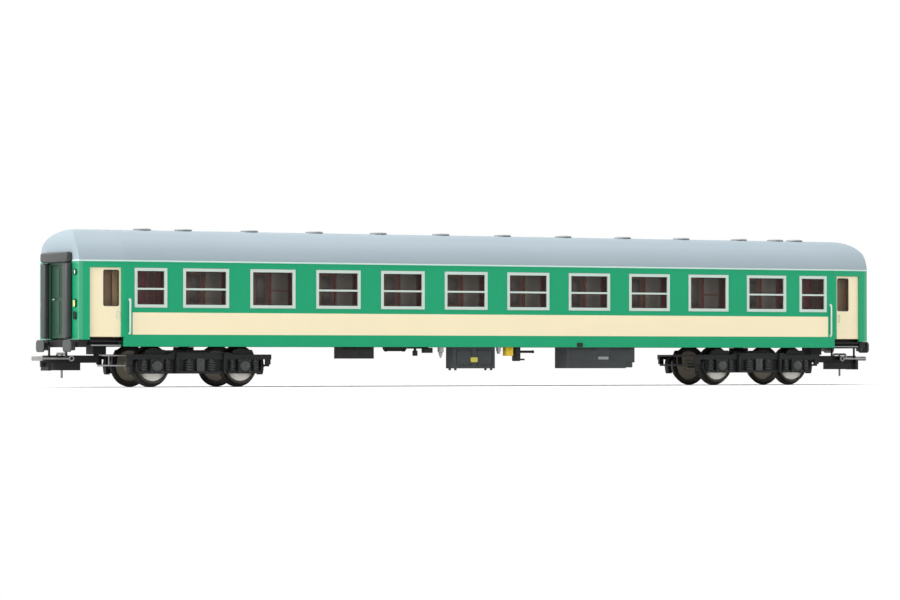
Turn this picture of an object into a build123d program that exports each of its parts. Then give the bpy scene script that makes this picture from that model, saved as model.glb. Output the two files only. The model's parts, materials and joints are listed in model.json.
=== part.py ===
from build123d import *
import os
from math import atan2, degrees

# An H0 (1:87) scale model of a two-bogie passenger coach, in millimetres.
# X runs along the coach, Y across it and Z up from the lowest point of the wheel flanges.
# End a is at -X and end b at +X. The corridor side is -Y and the compartment side is +Y.

# Body
length_over_buffers = 282.4
buffer_overhang = 2.1
body_width = 32.5
end_narrowing = 1.7
taper_length = 13.9
wall = 1.1
side_height = 24.9
skirt_depth = 1.4
end_wall_raise = 2.0
fit_gap = 0.05

# Sides of the prisms that stand for thin rods and for small discs
rod_sides = 8
disc_sides = 12

# Roof and its ventilators
roof_rise = 9.8
roof_wall = 1.2
roof_shoulder_radius = 7.5
roof_end_radius = 4.8
gutter_lip = 0.25
gutter_depth = 0.5
vent_radius = 2.7
vent_thickness = 0.6

# Ventilators towards the ends: end, distance from the body's end
end_vents = ((-1, 26.6), (1, 26.1), (1, 18.6))

# Windows
window_pitch = 22.0
window_width = 15.1
window_height = 11.75
window_drop = 1.75
small_window_inset = 9.3
small_window_width = 10.6
fixed_window = 1
frame_width = 0.95
frame_depth = 0.6
frame_proud = 0.1
crossbar_width = 0.55
crossbar_drop = 6.2
glazing_thickness = 0.8
glazing_margin = 0.9

# Entrance doors, their steps and handrails
door_end_margin = 3.3
door_width = 9.6
door_sill = 2.8
door_drop = 1.7
door_recess = 0.5
door_window_margin = 0.7
door_window_width = 4.6
door_window_drop = 0.8
door_window_height = 10.5
door_pane_recess = 0.2
door_pane_thickness = 0.4
step_well_lead = 0.9
step_well_margin = 0.3
step_proud = 0.3
step_depth = 2.9
step_panel = 0.6
step_tread = 0.4
step_rise = 1.15
steps_per_door = 2
rail_radius = 0.28
rail_inset = 2.5
rail_standoff = 0.5
rail_raise = 3.6
rail_length = 10.4

# Gangways, end doors and end fittings
gangway_width = 19.6
gangway_tube = 3.1
gangway_depth = 2.1
gangway_raise = 0.3
gangway_rise = 2.9
gangway_chamfer = 0.8
end_door_width = 13.0
end_door_drop = 0.7
end_door_sheet = 0.8
end_door_lap = 0.6
end_door_pad = 0.7
lamp_radius = 0.9
lamp_depth = 0.5
lamp_drop = 3.1
socket_width = 1.6
socket_height = 2.2
socket_depth = 0.6
socket_raises = (7.0, 10.6)

# Interior and ballast
ballast_pivot_gap = 16.85
ballast_side_gap = 3.0
ballast_thickness = 1.2
vestibule_margin = 2.9
interior_gap = 0.35
interior_floor = 0.8
interior_drop = 1.1
partition = 0.8
corridor_width = 6.4
seat_depth = 5.6
seat_height = 4.4
seat_back = 1.6
seat_back_height = 12.0

# Underframe
wheel_clearance = 0.8
floor_thickness = 1.0
plate_gap = 0.15
sill_spacing = 5.0
sill_width = 1.6
sill_depth = 0.9
sill_bogie_gap = 6.45
headstock_margin = 0.6
headstock_thickness = 2.2
headstock_setback = 0.3
headstock_drop = 0.2

# Underfloor equipment; a ratio is the place from the middle to the pivot of the bogie at end b
box_setback = 0.55
small_box_ratio = -0.481
small_box_length = 10.9
small_box_width = 5.2
small_box_height = 4.95
battery_ratio = -0.0728
battery_length = 14.5
battery_width = 5.0
battery_height = 7.95
battery_lid_margin = 0.8
battery_lid_recess = 0.25
long_box_ratio = 0.3865
long_box_length = 24.6
long_box_width = 7.6
long_box_height = 7.95
long_box_notch = 3.2
long_box_notch_height = 1.8
valve_gap = 3.95
valve_length = 2.7
valve_width = 2.4
valve_height = 4.1
pipe_bracket_gap = 0.7
pipe_bracket_length = 1.8
pipe_bracket_height = 5.7
pipe_radius = 0.45
pipe_drop = 2.8
pipe_length = 5.3
cylinder_ratio = -0.3177
cylinder_length = 7.5
cylinder_radius = 1.4
cylinder_row = 8.0
rod_radius = 0.6
rod_length = 7.0
reservoir_ratio = 0.4552
reservoir_length = 20.0
reservoir_radius = 2.0
reservoir_row = 6.0
strap_width = 1.0

# Buffers and hoses
buffer_spacing = 20.1
buffer_drop = 1.25
buffer_head_width = 5.8
buffer_head_height = 3.6
buffer_head_thickness = 0.7
buffer_shank_radius = 1.1
hose_spacing = 12.8
hose_lead = 0.8
hose_radius = 0.45
hose_drop = 0.7
hose_length = 4.1

# Bogies
bogie_clearance = 3.35
wheelbase = 28.7
bogie_overhang = 9.05
side_frame_thickness = 1.4
beam_rise = 4.0
beam_depth = 2.1
beam_end_drop = 0.6
beam_slope = 1.2
beam_centre_margin = 4.85
plank_drop = 2.3
plank_thickness = 0.8
plank_margin = 6.15
link_width = 0.9
axlebox_width = 4.2
axlebox_proud = 0.4
axlebox_cover_radius = 1.4
axlebox_cover_proud = 0.4
wing_half = 5.3
web_thickness = 0.5
bracket_foot = 7.4
bracket_angle = 65
bracket_rise = 1.4
primary_spring_radius = 1.1
primary_spring_offset = 3.75
secondary_spring_radius = 1.5
spring_gap = 0.02
bolster_half = 4.0
bolster_depth = 2.4
pivot_radius = 1.5
pivot_gap = 0.06
pivot_boss_height = 1.44
centre_plate_radius = 3.1
centre_plate_height = 0.9
centre_plate_gap = 0.06
end_beam_width = 1.5
end_plate_thickness = 0.6
end_plate_rise = 3.4
end_bar_rise = 0.4
end_rib_width = 1.0
shoe_gap = 0.35
shoe_thickness = 1.0
shoe_width = 2.0
shoe_drop = 2.6
shoe_sides = 24

# Wheelsets
tread_radius = 5.3
flange_depth = 1.0
flange_thickness = 0.75
back_to_back = 14.3
wheel_width = 2.75
axle_radius = 0.75
axle_end = 1.8
axle_seat = 1.0
bearing_gap = 0.15
wheel_bore_gap = 0.02

# Couplers
coupler_inset = 11.8
coupler_pin_radius = 0.8
coupler_pin_gap = 0.06
coupler_eye_radius = 1.7
coupler_lead = 2.6
guide_depth = 3.7
guide_length = 4.2
guide_width = 5.2
shank_gap = 0.3
shank_width = 3.0
shank_height = 2.2
pocket_offset = 5.9
pocket_length = 8.0
pocket_width = 4.0
pocket_depth = 2.2
slot_behind = 1.0
slot_ahead = 2.6
slot_width = 1.5
face_thickness = 1.0
face_drop = 1.0
face_height = 3.5
hook_reach = 1.2
hook_width = 1.2
hook_raise = 1.1
hook_height = 1.5
loop_pivot_offset = 9.5
loop_pin_drop = 0.9
loop_lead = 2.6
loop_width = 7.8
loop_wire = 0.7
loop_side_gap = 0.4
loop_eye = 1.7
loop_pin_radius = 0.45
loop_pin_gap = 0.06
tail_offset = 1.5
tail_drop = 4.5
tail_clearance = 0.15

# Values worked out from the sizes above: lengths along the coach
buffer_face = length_over_buffers / 2
half_length = buffer_face - buffer_overhang
body_length = 2 * half_length
end_inside = half_length - wall
door_outer_edge = half_length - door_end_margin
door_inner_edge = door_outer_edge - door_width
skirt_end = door_inner_edge - step_well_lead
small_window_offset = door_inner_edge - small_window_inset
compartments = int((2 * small_window_offset - small_window_width) // window_pitch)
interior_length = 2 * (door_inner_edge - vestibule_margin)
headstock_front = half_length - headstock_setback
coupler_pivot = half_length - coupler_inset
pocket_start = coupler_pivot + pocket_offset
pocket_end = pocket_start + pocket_length
coupler_face = buffer_face + coupler_lead
loop_pivot = coupler_pivot + loop_pivot_offset
loop_reach = coupler_face + loop_lead
tail_place = loop_pivot + tail_offset
bogie_half_length = wheelbase / 2 + bogie_overhang
bogie_x = coupler_pivot - coupler_eye_radius - bogie_clearance - bogie_half_length
axle_places = (-wheelbase / 2, wheelbase / 2)
plank_half = wheelbase / 2 - plank_margin
secondary_spring_offset = (plank_half - link_width) / 2
ballast_length = 2 * (bogie_x - ballast_pivot_gap)
sill_length = 2 * (bogie_x - bogie_half_length - sill_bogie_gap)

# Widths across it
half_width = body_width / 2
wall_inside = half_width - wall
end_width = body_width - 2 * end_narrowing
headstock_width = end_width - 2 * headstock_margin
step_reach = end_width / 2 + step_proud
step_well_depth = step_reach - step_depth
end_fitting_offset = (gangway_width + end_width) / 4
pane_front = half_width + frame_proud - frame_depth
interior_width = 2 * (wall_inside - glazing_thickness - interior_gap)
ballast_width = interior_width - 2 * ballast_side_gap
box_front = wall_inside - box_setback
axle_length = back_to_back + 2 * wheel_width + 2 * axle_end
side_frame_inner = axle_length / 2 - axle_seat
side_frame_outer = side_frame_inner + side_frame_thickness
face_width = loop_width - 2 * loop_wire - 2 * loop_side_gap

# Heights, from the wheels up
axle_height = tread_radius + flange_depth
floor_bottom = 2 * axle_height + wheel_clearance
floor_top = floor_bottom + floor_thickness
body_bottom = floor_bottom - skirt_depth
end_wall_bottom = body_bottom + end_wall_raise
gutter_height = body_bottom + side_height
roof_height = gutter_height + roof_rise
window_top = gutter_height - window_drop
window_middle = window_top - window_height / 2
door_bottom = body_bottom + door_sill
door_top = gutter_height - door_drop
door_height = door_top - door_bottom
door_window_bottom = door_top - door_window_drop - door_window_height
rail_bottom = body_bottom + rail_raise
gangway_bottom = end_wall_bottom + gangway_raise
gangway_top = gutter_height + gangway_rise
end_door_top = gutter_height - end_door_drop
end_door_bottom = floor_top + fit_gap
ballast_top = floor_top + ballast_thickness
seat_floor = ballast_top + interior_floor
interior_top = gutter_height - interior_drop
headstock_bottom = body_bottom - headstock_drop
buffer_height = floor_bottom - buffer_drop
hose_top = floor_bottom - hose_drop
beam_top = axle_height + beam_rise
beam_bottom = beam_top - beam_depth
plank_bottom = axle_height - plank_drop
pivot_boss_bottom = floor_bottom - pivot_boss_height
centre_plate_top = pivot_boss_bottom - centre_plate_gap
bolster_top = centre_plate_top - centre_plate_height
end_plate_top = axle_height + end_plate_rise
end_bar_top = axle_height + end_bar_rise
shoe_bottom = axle_height - shoe_drop
guide_bottom = floor_bottom - guide_depth
shank_top = guide_bottom - shank_gap
shank_bottom = shank_top - shank_height
pocket_bottom = shank_bottom - pocket_depth
face_top = shank_top - face_drop
face_bottom = face_top - face_height
hook_bottom = face_bottom + hook_raise
loop_pivot_height = shank_top - loop_pin_drop
tail_bottom = shank_bottom - tail_drop

# Windows: place along the coach, width
windows = [((i - (compartments - 1) / 2) * window_pitch, window_width) for i in range(compartments)]
windows += [(-small_window_offset, small_window_width), (small_window_offset, small_window_width)]
fixed_windows_corridor = (fixed_window, compartments - 1 - fixed_window)

os.makedirs("parts", exist_ok=True)


def keep(part, name):
    part.label = name
    export_step(part, f"parts/{name}.step")


def keep_ends(part, name):
    # a piece modelled at end b has its mirror image at end a
    keep(mirror(part, about=Plane.YZ), f"{name}_a")
    keep(part, f"{name}_b")


def keep_sides(part, name):
    # a piece modelled on the corridor side has its mirror image on the other side
    keep(part, f"{name}_corridor")
    keep(mirror(part, about=Plane.XZ), f"{name}_compartment")


def plan_outline(inset):
    # the body from above: parallel sides that narrow towards both ends
    shoulder = half_length - taper_length
    right = [(shoulder, half_width), (half_length, end_width / 2)]
    corners = right + [(x, -y) for x, y in reversed(right)]
    corners += [(-x, y) for x, y in reversed(corners)]
    with BuildSketch() as plan:
        with BuildLine():
            Polyline(*corners, close=True)
        make_face()
        if inset:
            offset(amount=-inset, kind=Kind.INTERSECTION)
    return plan.sketch


def side_strip(outer, inner, start, end):
    # the corridor side's wall from above, between two depths and two places along the coach
    with BuildSketch() as strip:
        add(plan_outline(outer))
        add(plan_outline(inner), mode=Mode.SUBTRACT)
        with Locations(((start + end) / 2, -body_width)):
            Rectangle(end - start, 2 * body_width, mode=Mode.INTERSECT)
    return strip.sketch


# Side walls: windows cut through, step wells cut out below the entrances
with BuildPart() as side_wall:
    with BuildSketch(Plane.XY.offset(body_bottom)):
        add(side_strip(0, wall, -end_inside, end_inside))
    extrude(amount=gutter_height - body_bottom)
    with BuildSketch(Plane.XZ):
        for place, width in windows:
            with Locations((place, window_middle)):
                Rectangle(width, window_height)
    extrude(amount=body_width, mode=Mode.SUBTRACT)
    with BuildSketch(Plane.XZ):
        with BuildLine():
            Polyline(
                (skirt_end, body_bottom),
                (skirt_end, door_bottom),
                (door_inner_edge, door_bottom),
                (door_inner_edge, door_top),
                (door_outer_edge, door_top),
                (door_outer_edge, end_wall_bottom),
                (half_length, end_wall_bottom),
                (half_length, body_bottom),
                close=True,
            )
        make_face()
        mirror(about=Plane.YZ)
    extrude(amount=body_width, mode=Mode.SUBTRACT)
keep_sides(side_wall.part, "side_wall")

# End walls with the opening of the gangway door
with BuildPart() as end_wall:
    with BuildSketch(Plane.XY.offset(end_wall_bottom)):
        add(plan_outline(0))
        with Locations((half_length - wall / 2, 0)):
            Rectangle(wall, body_width, mode=Mode.INTERSECT)
    extrude(amount=gutter_height - end_wall_bottom)
    with BuildSketch(Plane.YZ.offset(end_inside)):
        with Locations((0, end_wall_bottom)):
            Rectangle(end_door_width, 2 * (end_door_top - end_wall_bottom))
    extrude(amount=wall, mode=Mode.SUBTRACT)
keep_ends(end_wall.part, "end_wall")


def roof_section(x, half, inset):
    # two shoulder arcs tangent to the walls, joined by a wide arc tangent to both
    reach = half - roof_shoulder_radius
    spare = roof_rise - roof_shoulder_radius
    drop = (reach**2 - spare**2) / (2 * spare)
    turn = degrees(atan2(drop, reach))
    shoulder = roof_shoulder_radius - inset
    with BuildSketch(Plane.YZ.offset(x)) as section:
        with BuildLine():
            right = CenterArc((reach, gutter_height), shoulder, 0, turn)
            CenterArc((0, gutter_height - drop), drop + roof_rise - inset, turn, 180 - 2 * turn)
            left = CenterArc((-reach, gutter_height), shoulder, 180 - turn, turn)
            Line(left @ 1, right @ 0)
        make_face()
    return section.sketch


def roof_form(inset):
    # the outside of the roof, or its hollow when taken in by the thickness
    shoulder = half_length - taper_length
    length = half_length - inset
    narrow = half_width - (half_width - end_width / 2) * (taper_length - inset) / taper_length
    with BuildPart() as form:
        extrude(roof_section(-shoulder, half_width, inset), amount=2 * shoulder)
        for side in (-1, 1):
            ends = ((side * shoulder, half_width), (side * length, narrow))
            loft([roof_section(x, half, inset) for x, half in ends], ruled=True)
        with BuildSketch(Plane.XZ) as side_view:
            with Locations((0, gutter_height)):
                Rectangle(2 * length, roof_rise - inset, align=(Align.CENTER, Align.MIN))
            fillet(side_view.vertices().group_by(Axis.Y)[-1], radius=roof_end_radius - inset)
        extrude(amount=body_width, both=True, mode=Mode.INTERSECT)
    return form.part


# Roof with a rain gutter along both sides
with BuildPart() as roof:
    add(roof_form(0))
    with BuildSketch(Plane.XY.offset(gutter_height)):
        add(plan_outline(-gutter_lip))
        Rectangle(body_length, 2 * body_width, mode=Mode.INTERSECT)
        add(plan_outline(gutter_depth), mode=Mode.SUBTRACT)
    extrude(amount=gutter_depth)
    add(roof_form(roof_wall), mode=Mode.SUBTRACT)
keep(roof.part, "roof")

# Roof ventilators: one over each compartment and some towards the ends
vent_places = [place for place, width in windows[:compartments]]
vent_places += [end * (half_length - inset) for end, inset in end_vents]
with BuildPart() as roof_vents:
    with BuildSketch(Plane.XY.offset(roof_height)):
        with Locations(*[(place, 0) for place in vent_places]):
            RegularPolygon(vent_radius, disc_sides)
    extrude(amount=vent_thickness)
keep(roof_vents.part, "roof_vents")

# Glazing: one clear strip behind each side, with a pad that fills each window
with BuildPart() as glazing:
    with BuildSketch(Plane.XZ.offset(wall_inside - glazing_thickness)):
        with Locations((0, window_middle)):
            Rectangle(
                2 * small_window_offset + small_window_width + 2 * glazing_margin,
                window_height + 2 * glazing_margin,
            )
    extrude(amount=glazing_thickness)
    with BuildSketch(Plane.XZ.offset(wall_inside)):
        for place, width in windows:
            with Locations((place, window_middle)):
                Rectangle(width - 2 * fit_gap, window_height - 2 * fit_gap)
    extrude(amount=pane_front - wall_inside)
keep_sides(glazing.part, "glazing")


def window_frames(fixed):
    # metal frames set into the windows; all but the fixed ones have a bar at half height
    with BuildPart() as frames:
        with BuildSketch(Plane.XZ.offset(pane_front)):
            for place, width in windows:
                with Locations((place, window_middle)):
                    Rectangle(width - 2 * fit_gap, window_height - 2 * fit_gap)
                    Rectangle(
                        width - 2 * frame_width,
                        window_height - 2 * frame_width,
                        mode=Mode.SUBTRACT,
                    )
            for i, (place, width) in enumerate(windows):
                if i not in fixed:
                    with Locations((place, window_top - crossbar_drop)):
                        Rectangle(width - 2 * frame_width, crossbar_width)
        extrude(amount=frame_depth)
    return frames.part


keep(window_frames(fixed_windows_corridor), "window_frames_corridor")
keep(mirror(window_frames(()), about=Plane.XZ), "window_frames_compartment")

# Entrance doors, set back in the narrowing ends of both sides
door_window_edge = door_inner_edge + door_window_margin
with BuildPart() as doors:
    with BuildSketch(Plane.XY.offset(door_bottom + fit_gap)):
        add(side_strip(door_recess, wall, door_inner_edge + fit_gap, door_outer_edge - fit_gap))
    extrude(amount=door_height - 2 * fit_gap)
    with BuildSketch(Plane.XZ):
        with Locations((door_window_edge, door_window_bottom)):
            Rectangle(door_window_width, door_window_height, align=(Align.MIN, Align.MIN))
    extrude(amount=body_width, mode=Mode.SUBTRACT)
    mirror(about=Plane.YZ)
    mirror(about=Plane.XZ)
keep(doors.part, "entrance_doors")

pane_depth = door_recess + door_pane_recess
with BuildPart() as door_panes:
    with BuildSketch(Plane.XY.offset(door_window_bottom + fit_gap)):
        add(
            side_strip(
                pane_depth,
                pane_depth + door_pane_thickness,
                door_window_edge + fit_gap,
                door_window_edge + door_window_width - fit_gap,
            )
        )
    extrude(amount=door_window_height - 2 * fit_gap)
    mirror(about=Plane.YZ)
    mirror(about=Plane.XZ)
keep(door_panes.part, "door_panes")

# Entrance steps: a panel in the well below each door carries the treads
step_start = skirt_end + step_well_margin
step_length = door_outer_edge - step_well_margin - step_start
step_bottom = door_bottom - step_well_margin - steps_per_door * step_rise
with BuildPart() as steps:
    with BuildSketch(Plane.XZ.offset(step_well_depth)):
        with Locations((step_start, step_bottom)):
            Rectangle(step_length, steps_per_door * step_rise, align=(Align.MIN, Align.MIN))
    extrude(amount=step_panel)
    with BuildSketch(Plane.XZ.offset(step_well_depth)):
        for level in range(steps_per_door):
            with Locations((step_start, step_bottom + level * step_rise)):
                Rectangle(step_length, step_tread, align=(Align.MIN, Align.MIN))
    extrude(amount=step_reach - step_well_depth)
    mirror(about=Plane.YZ)
    mirror(about=Plane.XZ)
keep(steps.part, "entrance_steps")

# Handrails beside the doors, each a rod on two feet
with BuildPart() as handrails:
    with BuildSketch(Plane.XY.offset(rail_bottom)):
        with Locations((door_inner_edge - rail_inset, -half_width - rail_standoff)):
            RegularPolygon(rail_radius, rod_sides)
    extrude(amount=rail_length)
    with BuildSketch(Plane.XZ.offset(half_width)):
        for foot in (rail_bottom, rail_bottom + rail_length - 2 * rail_radius):
            with Locations((door_inner_edge - rail_inset, foot + rail_radius)):
                Rectangle(2 * rail_radius, 2 * rail_radius)
    extrude(amount=rail_standoff)
    mirror(about=Plane.YZ)
    mirror(about=Plane.XZ)
keep(handrails.part, "door_handrails")

# Gangway: a rubber tube bent into a portal in front of the end wall
with BuildPart() as gangway:
    with BuildSketch(Plane.YZ.offset(half_length)):
        with Locations((0, gangway_bottom)):
            Rectangle(gangway_width, gangway_top - gangway_bottom, align=(Align.CENTER, Align.MIN))
            Rectangle(
                gangway_width - 2 * gangway_tube,
                gangway_top - gangway_tube - gangway_bottom,
                align=(Align.CENTER, Align.MIN),
                mode=Mode.SUBTRACT,
            )
    extrude(amount=gangway_depth)
    chamfer(gangway.faces().sort_by(Axis.X)[-1].edges(), length=gangway_chamfer)
keep_ends(gangway.part, "gangway")

# End door: a sheet behind the end wall with a panel that fills the opening
with BuildPart() as end_door:
    with BuildSketch(Plane.YZ.offset(end_inside - end_door_sheet)):
        with Locations((0, end_door_bottom)):
            Rectangle(
                end_door_width + 2 * end_door_lap,
                end_door_top + end_door_lap - end_door_bottom,
                align=(Align.CENTER, Align.MIN),
            )
    extrude(amount=end_door_sheet)
    with BuildSketch(Plane.YZ.offset(end_inside)):
        with Locations((0, end_door_bottom)):
            Rectangle(
                end_door_width - 2 * fit_gap,
                end_door_top - fit_gap - end_door_bottom,
                align=(Align.CENTER, Align.MIN),
            )
    extrude(amount=end_door_pad)
keep_ends(end_door.part, "end_door")

# Lamps and cable sockets on the end walls
with BuildPart() as end_lamps:
    with BuildSketch(Plane.YZ.offset(half_length)):
        with Locations((end_fitting_offset, gutter_height - lamp_drop)):
            RegularPolygon(lamp_radius, disc_sides)
    extrude(amount=lamp_depth)
    mirror(about=Plane.YZ)
    mirror(about=Plane.XZ)
keep(end_lamps.part, "end_lamps")

with BuildPart() as end_sockets:
    with BuildSketch(Plane.YZ.offset(half_length)):
        for height in socket_raises:
            with Locations((end_fitting_offset, end_wall_bottom + height)):
                Rectangle(socket_width, socket_height)
    extrude(amount=socket_depth)
    mirror(about=Plane.YZ)
    mirror(about=Plane.XZ)
keep(end_sockets.part, "end_sockets")

# Steel ballast plate on the underframe's floor
with BuildPart() as ballast_plate:
    with BuildSketch(Plane.XY.offset(floor_top)):
        Rectangle(ballast_length, ballast_width)
    extrude(amount=ballast_thickness)
keep(ballast_plate.part, "ballast_plate")

# Interior: a floor with the corridor wall, the compartment walls and a wall at each vestibule
corridor_wall = -interior_width / 2 + corridor_width
compartment_depth = interior_width / 2 - corridor_wall
wall_places = [(i - compartments / 2) * window_pitch for i in range(compartments + 1)]
with BuildPart() as interior:
    with BuildSketch(Plane.XY.offset(ballast_top)):
        Rectangle(interior_length, interior_width)
    extrude(amount=interior_floor)
    with BuildSketch(Plane.XY.offset(seat_floor)):
        with Locations((0, corridor_wall)):
            Rectangle(
                compartments * window_pitch + partition,
                partition,
                align=(Align.CENTER, Align.MIN),
            )
        for place in wall_places:
            with Locations((place, corridor_wall)):
                Rectangle(partition, compartment_depth, align=(Align.CENTER, Align.MIN))
        for place in (-1, 1):
            with Locations((place * (interior_length - partition) / 2, 0)):
                Rectangle(partition, interior_width)
    extrude(amount=interior_top - seat_floor)
keep(interior.part, "interior")

# Bench seats, two facing each other in every compartment
with BuildPart() as seats:
    with BuildSketch(Plane.XZ.offset(-interior_width / 2)):
        for place in wall_places[:-1]:
            for edge, side in ((place + partition / 2, 1), (place + window_pitch - partition / 2, -1)):
                with BuildLine():
                    Polyline(
                        (edge, seat_floor),
                        (edge + side * seat_depth, seat_floor),
                        (edge + side * seat_depth, seat_floor + seat_height),
                        (edge + side * seat_back, seat_floor + seat_height),
                        (edge + side * seat_back, seat_floor + seat_back_height),
                        (edge, seat_floor + seat_back_height),
                        close=True,
                    )
                make_face()
    extrude(amount=compartment_depth - partition)
keep(seats.part, "seats")

# Underframe: floor, sills, headstocks, bogie pivots and the guides of the couplers
with BuildPart() as underframe:
    with BuildSketch(Plane.XY.offset(floor_bottom)):
        add(plan_outline(wall + plate_gap))
        for x, y in ((1, 1), (1, -1), (-1, 1), (-1, -1)):
            with Locations((x * (skirt_end + door_outer_edge) / 2, y * (step_well_depth + half_width / 2))):
                Rectangle(door_outer_edge - skirt_end, half_width, mode=Mode.SUBTRACT)
    extrude(amount=floor_thickness)
    with BuildSketch(Plane.XY.offset(floor_bottom)):
        with Locations((0, -sill_spacing / 2), (0, sill_spacing / 2)):
            Rectangle(sill_length, sill_width)
    extrude(amount=-sill_depth)
    with BuildSketch(Plane.XY.offset(headstock_bottom)):
        for side in (-1, 1):
            with Locations((side * (headstock_front - headstock_thickness / 2), 0)):
                Rectangle(headstock_thickness, headstock_width)
    extrude(amount=end_wall_bottom - fit_gap - headstock_bottom)
    with BuildSketch(Plane.XY.offset(guide_bottom)):
        with Locations((-coupler_pivot, 0), (coupler_pivot, 0)):
            Rectangle(guide_length, guide_width)
    extrude(amount=floor_bottom - guide_bottom)
    with BuildSketch(Plane.XY.offset(guide_bottom)):
        with Locations((-coupler_pivot, 0), (coupler_pivot, 0)):
            Circle(coupler_pin_radius)
    extrude(amount=shank_bottom - guide_bottom)
    with BuildSketch(Plane.XY.offset(pivot_boss_bottom)):
        with Locations((-bogie_x, 0), (bogie_x, 0)):
            RegularPolygon(centre_plate_radius, disc_sides)
    extrude(amount=pivot_boss_height)
    with BuildSketch(Plane.XY.offset(pivot_boss_bottom)):
        with Locations((-bogie_x, 0), (bogie_x, 0)):
            RegularPolygon(pivot_radius + pivot_gap, disc_sides, major_radius=False)
    extrude(amount=floor_top - pivot_boss_bottom, mode=Mode.SUBTRACT)
keep(underframe.part, "underframe")

# Buffers with rectangular heads
with BuildPart() as buffers:
    with BuildSketch(Plane.YZ.offset(headstock_front)):
        with Locations((buffer_spacing / 2, buffer_height)):
            RegularPolygon(buffer_shank_radius, disc_sides)
    extrude(amount=buffer_face - headstock_front)
    with BuildSketch(Plane.YZ.offset(buffer_face)):
        with Locations((buffer_spacing / 2, buffer_height)):
            Rectangle(buffer_head_width, buffer_head_height)
    extrude(amount=-buffer_head_thickness)
    mirror(about=Plane.YZ)
    mirror(about=Plane.XZ)
keep(buffers.part, "buffers")

# Brake hoses that hang in front of the headstocks
with BuildPart() as hoses:
    with BuildSketch(Plane.XY.offset(hose_top)):
        with Locations((headstock_front + hose_lead, hose_spacing / 2)):
            RegularPolygon(hose_radius, rod_sides)
    extrude(amount=-hose_length)
    with BuildSketch(Plane.YZ.offset(headstock_front)):
        with Locations((hose_spacing / 2, hose_top - hose_radius)):
            Rectangle(2 * hose_radius, 2 * hose_radius)
    extrude(amount=hose_lead)
    mirror(about=Plane.YZ)
    mirror(about=Plane.XZ)
keep(hoses.part, "brake_hoses")


def hung_box(place, length, width, height):
    # a box under the floor with its front near the corridor side's skirt
    with BuildPart() as box:
        with BuildSketch(Plane.XY.offset(floor_bottom)):
            with Locations((place, -box_front + width / 2)):
                Rectangle(length, width)
        extrude(amount=-height)
    return box.part


small_box_place = small_box_ratio * bogie_x
battery_place = battery_ratio * bogie_x
valve_place = battery_place + (battery_length + valve_length) / 2 + valve_gap
pipe_bracket_place = valve_place + (valve_length + pipe_bracket_length) / 2 + pipe_bracket_gap
keep(hung_box(small_box_place, small_box_length, small_box_width, small_box_height), "equipment_box")
keep(hung_box(valve_place, valve_length, valve_width, valve_height), "brake_valve")

# Battery box with two recessed lids
battery_bottom = floor_bottom - battery_height
with BuildPart() as battery_box:
    add(hung_box(battery_place, battery_length, battery_width, battery_height))
    with BuildSketch(Plane.XZ.offset(box_front)):
        for side in (-1, 1):
            with Locations((battery_place + side * battery_length / 4, (battery_bottom + body_bottom) / 2)):
                Rectangle(
                    battery_length / 2 - 2 * battery_lid_margin,
                    body_bottom - battery_bottom - 2 * battery_lid_margin,
                )
    extrude(amount=-battery_lid_recess, mode=Mode.SUBTRACT)
keep(battery_box.part, "battery_box")

# Long equipment box, notched at its end
long_box_start = long_box_ratio * bogie_x - long_box_length / 2
long_box_end = long_box_start + long_box_length
long_box_bottom = floor_bottom - long_box_height
with BuildPart() as long_box:
    with BuildSketch(Plane.XZ.offset(box_front - long_box_width)):
        with BuildLine():
            Polyline(
                (long_box_start, floor_bottom),
                (long_box_start, long_box_bottom),
                (long_box_end - long_box_notch, long_box_bottom),
                (long_box_end - long_box_notch, long_box_bottom + long_box_notch_height),
                (long_box_end, long_box_bottom + long_box_notch_height),
                (long_box_end, floor_bottom),
                close=True,
            )
        make_face()
    extrude(amount=long_box_width)
keep(long_box.part, "converter_box")

# Bracket with a pipe, behind the brake valve
with BuildPart() as pipe_bracket:
    add(hung_box(pipe_bracket_place, pipe_bracket_length, valve_width, pipe_bracket_height))
    with BuildSketch(Plane.YZ.offset(pipe_bracket_place)):
        with Locations((-box_front + valve_width / 2, floor_bottom - pipe_drop)):
            RegularPolygon(pipe_radius, rod_sides)
    extrude(amount=pipe_bracket_length / 2 + pipe_length)
keep(pipe_bracket.part, "pipe_bracket")

# Brake cylinder with its rod, under the floor
cylinder_place = cylinder_ratio * bogie_x
with BuildPart() as brake_cylinder:
    with BuildSketch(Plane.YZ.offset(cylinder_place - cylinder_length / 2)):
        with Locations((-cylinder_row, floor_bottom - cylinder_radius)):
            RegularPolygon(cylinder_radius, disc_sides, major_radius=False, rotation=180 / disc_sides)
    extrude(amount=cylinder_length)
    with BuildSketch(Plane.YZ.offset(cylinder_place + cylinder_length / 2)):
        with Locations((-cylinder_row, floor_bottom - cylinder_radius)):
            RegularPolygon(rod_radius, rod_sides)
    extrude(amount=rod_length)
keep(brake_cylinder.part, "brake_cylinder")

# Air reservoir held to the floor by two straps
reservoir_place = reservoir_ratio * bogie_x
with BuildPart() as air_reservoir:
    with BuildSketch(Plane.YZ.offset(reservoir_place - reservoir_length / 2)):
        with Locations((reservoir_row, floor_bottom - reservoir_radius - plate_gap)):
            RegularPolygon(reservoir_radius, disc_sides)
    extrude(amount=reservoir_length)
    with BuildSketch(Plane.XY.offset(floor_bottom)):
        for side in (-1, 1):
            with Locations((reservoir_place + side * reservoir_length / 4, reservoir_row)):
                Rectangle(strap_width, 2 * reservoir_radius)
    extrude(amount=-reservoir_radius)
keep(air_reservoir.part, "air_reservoir")


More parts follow.
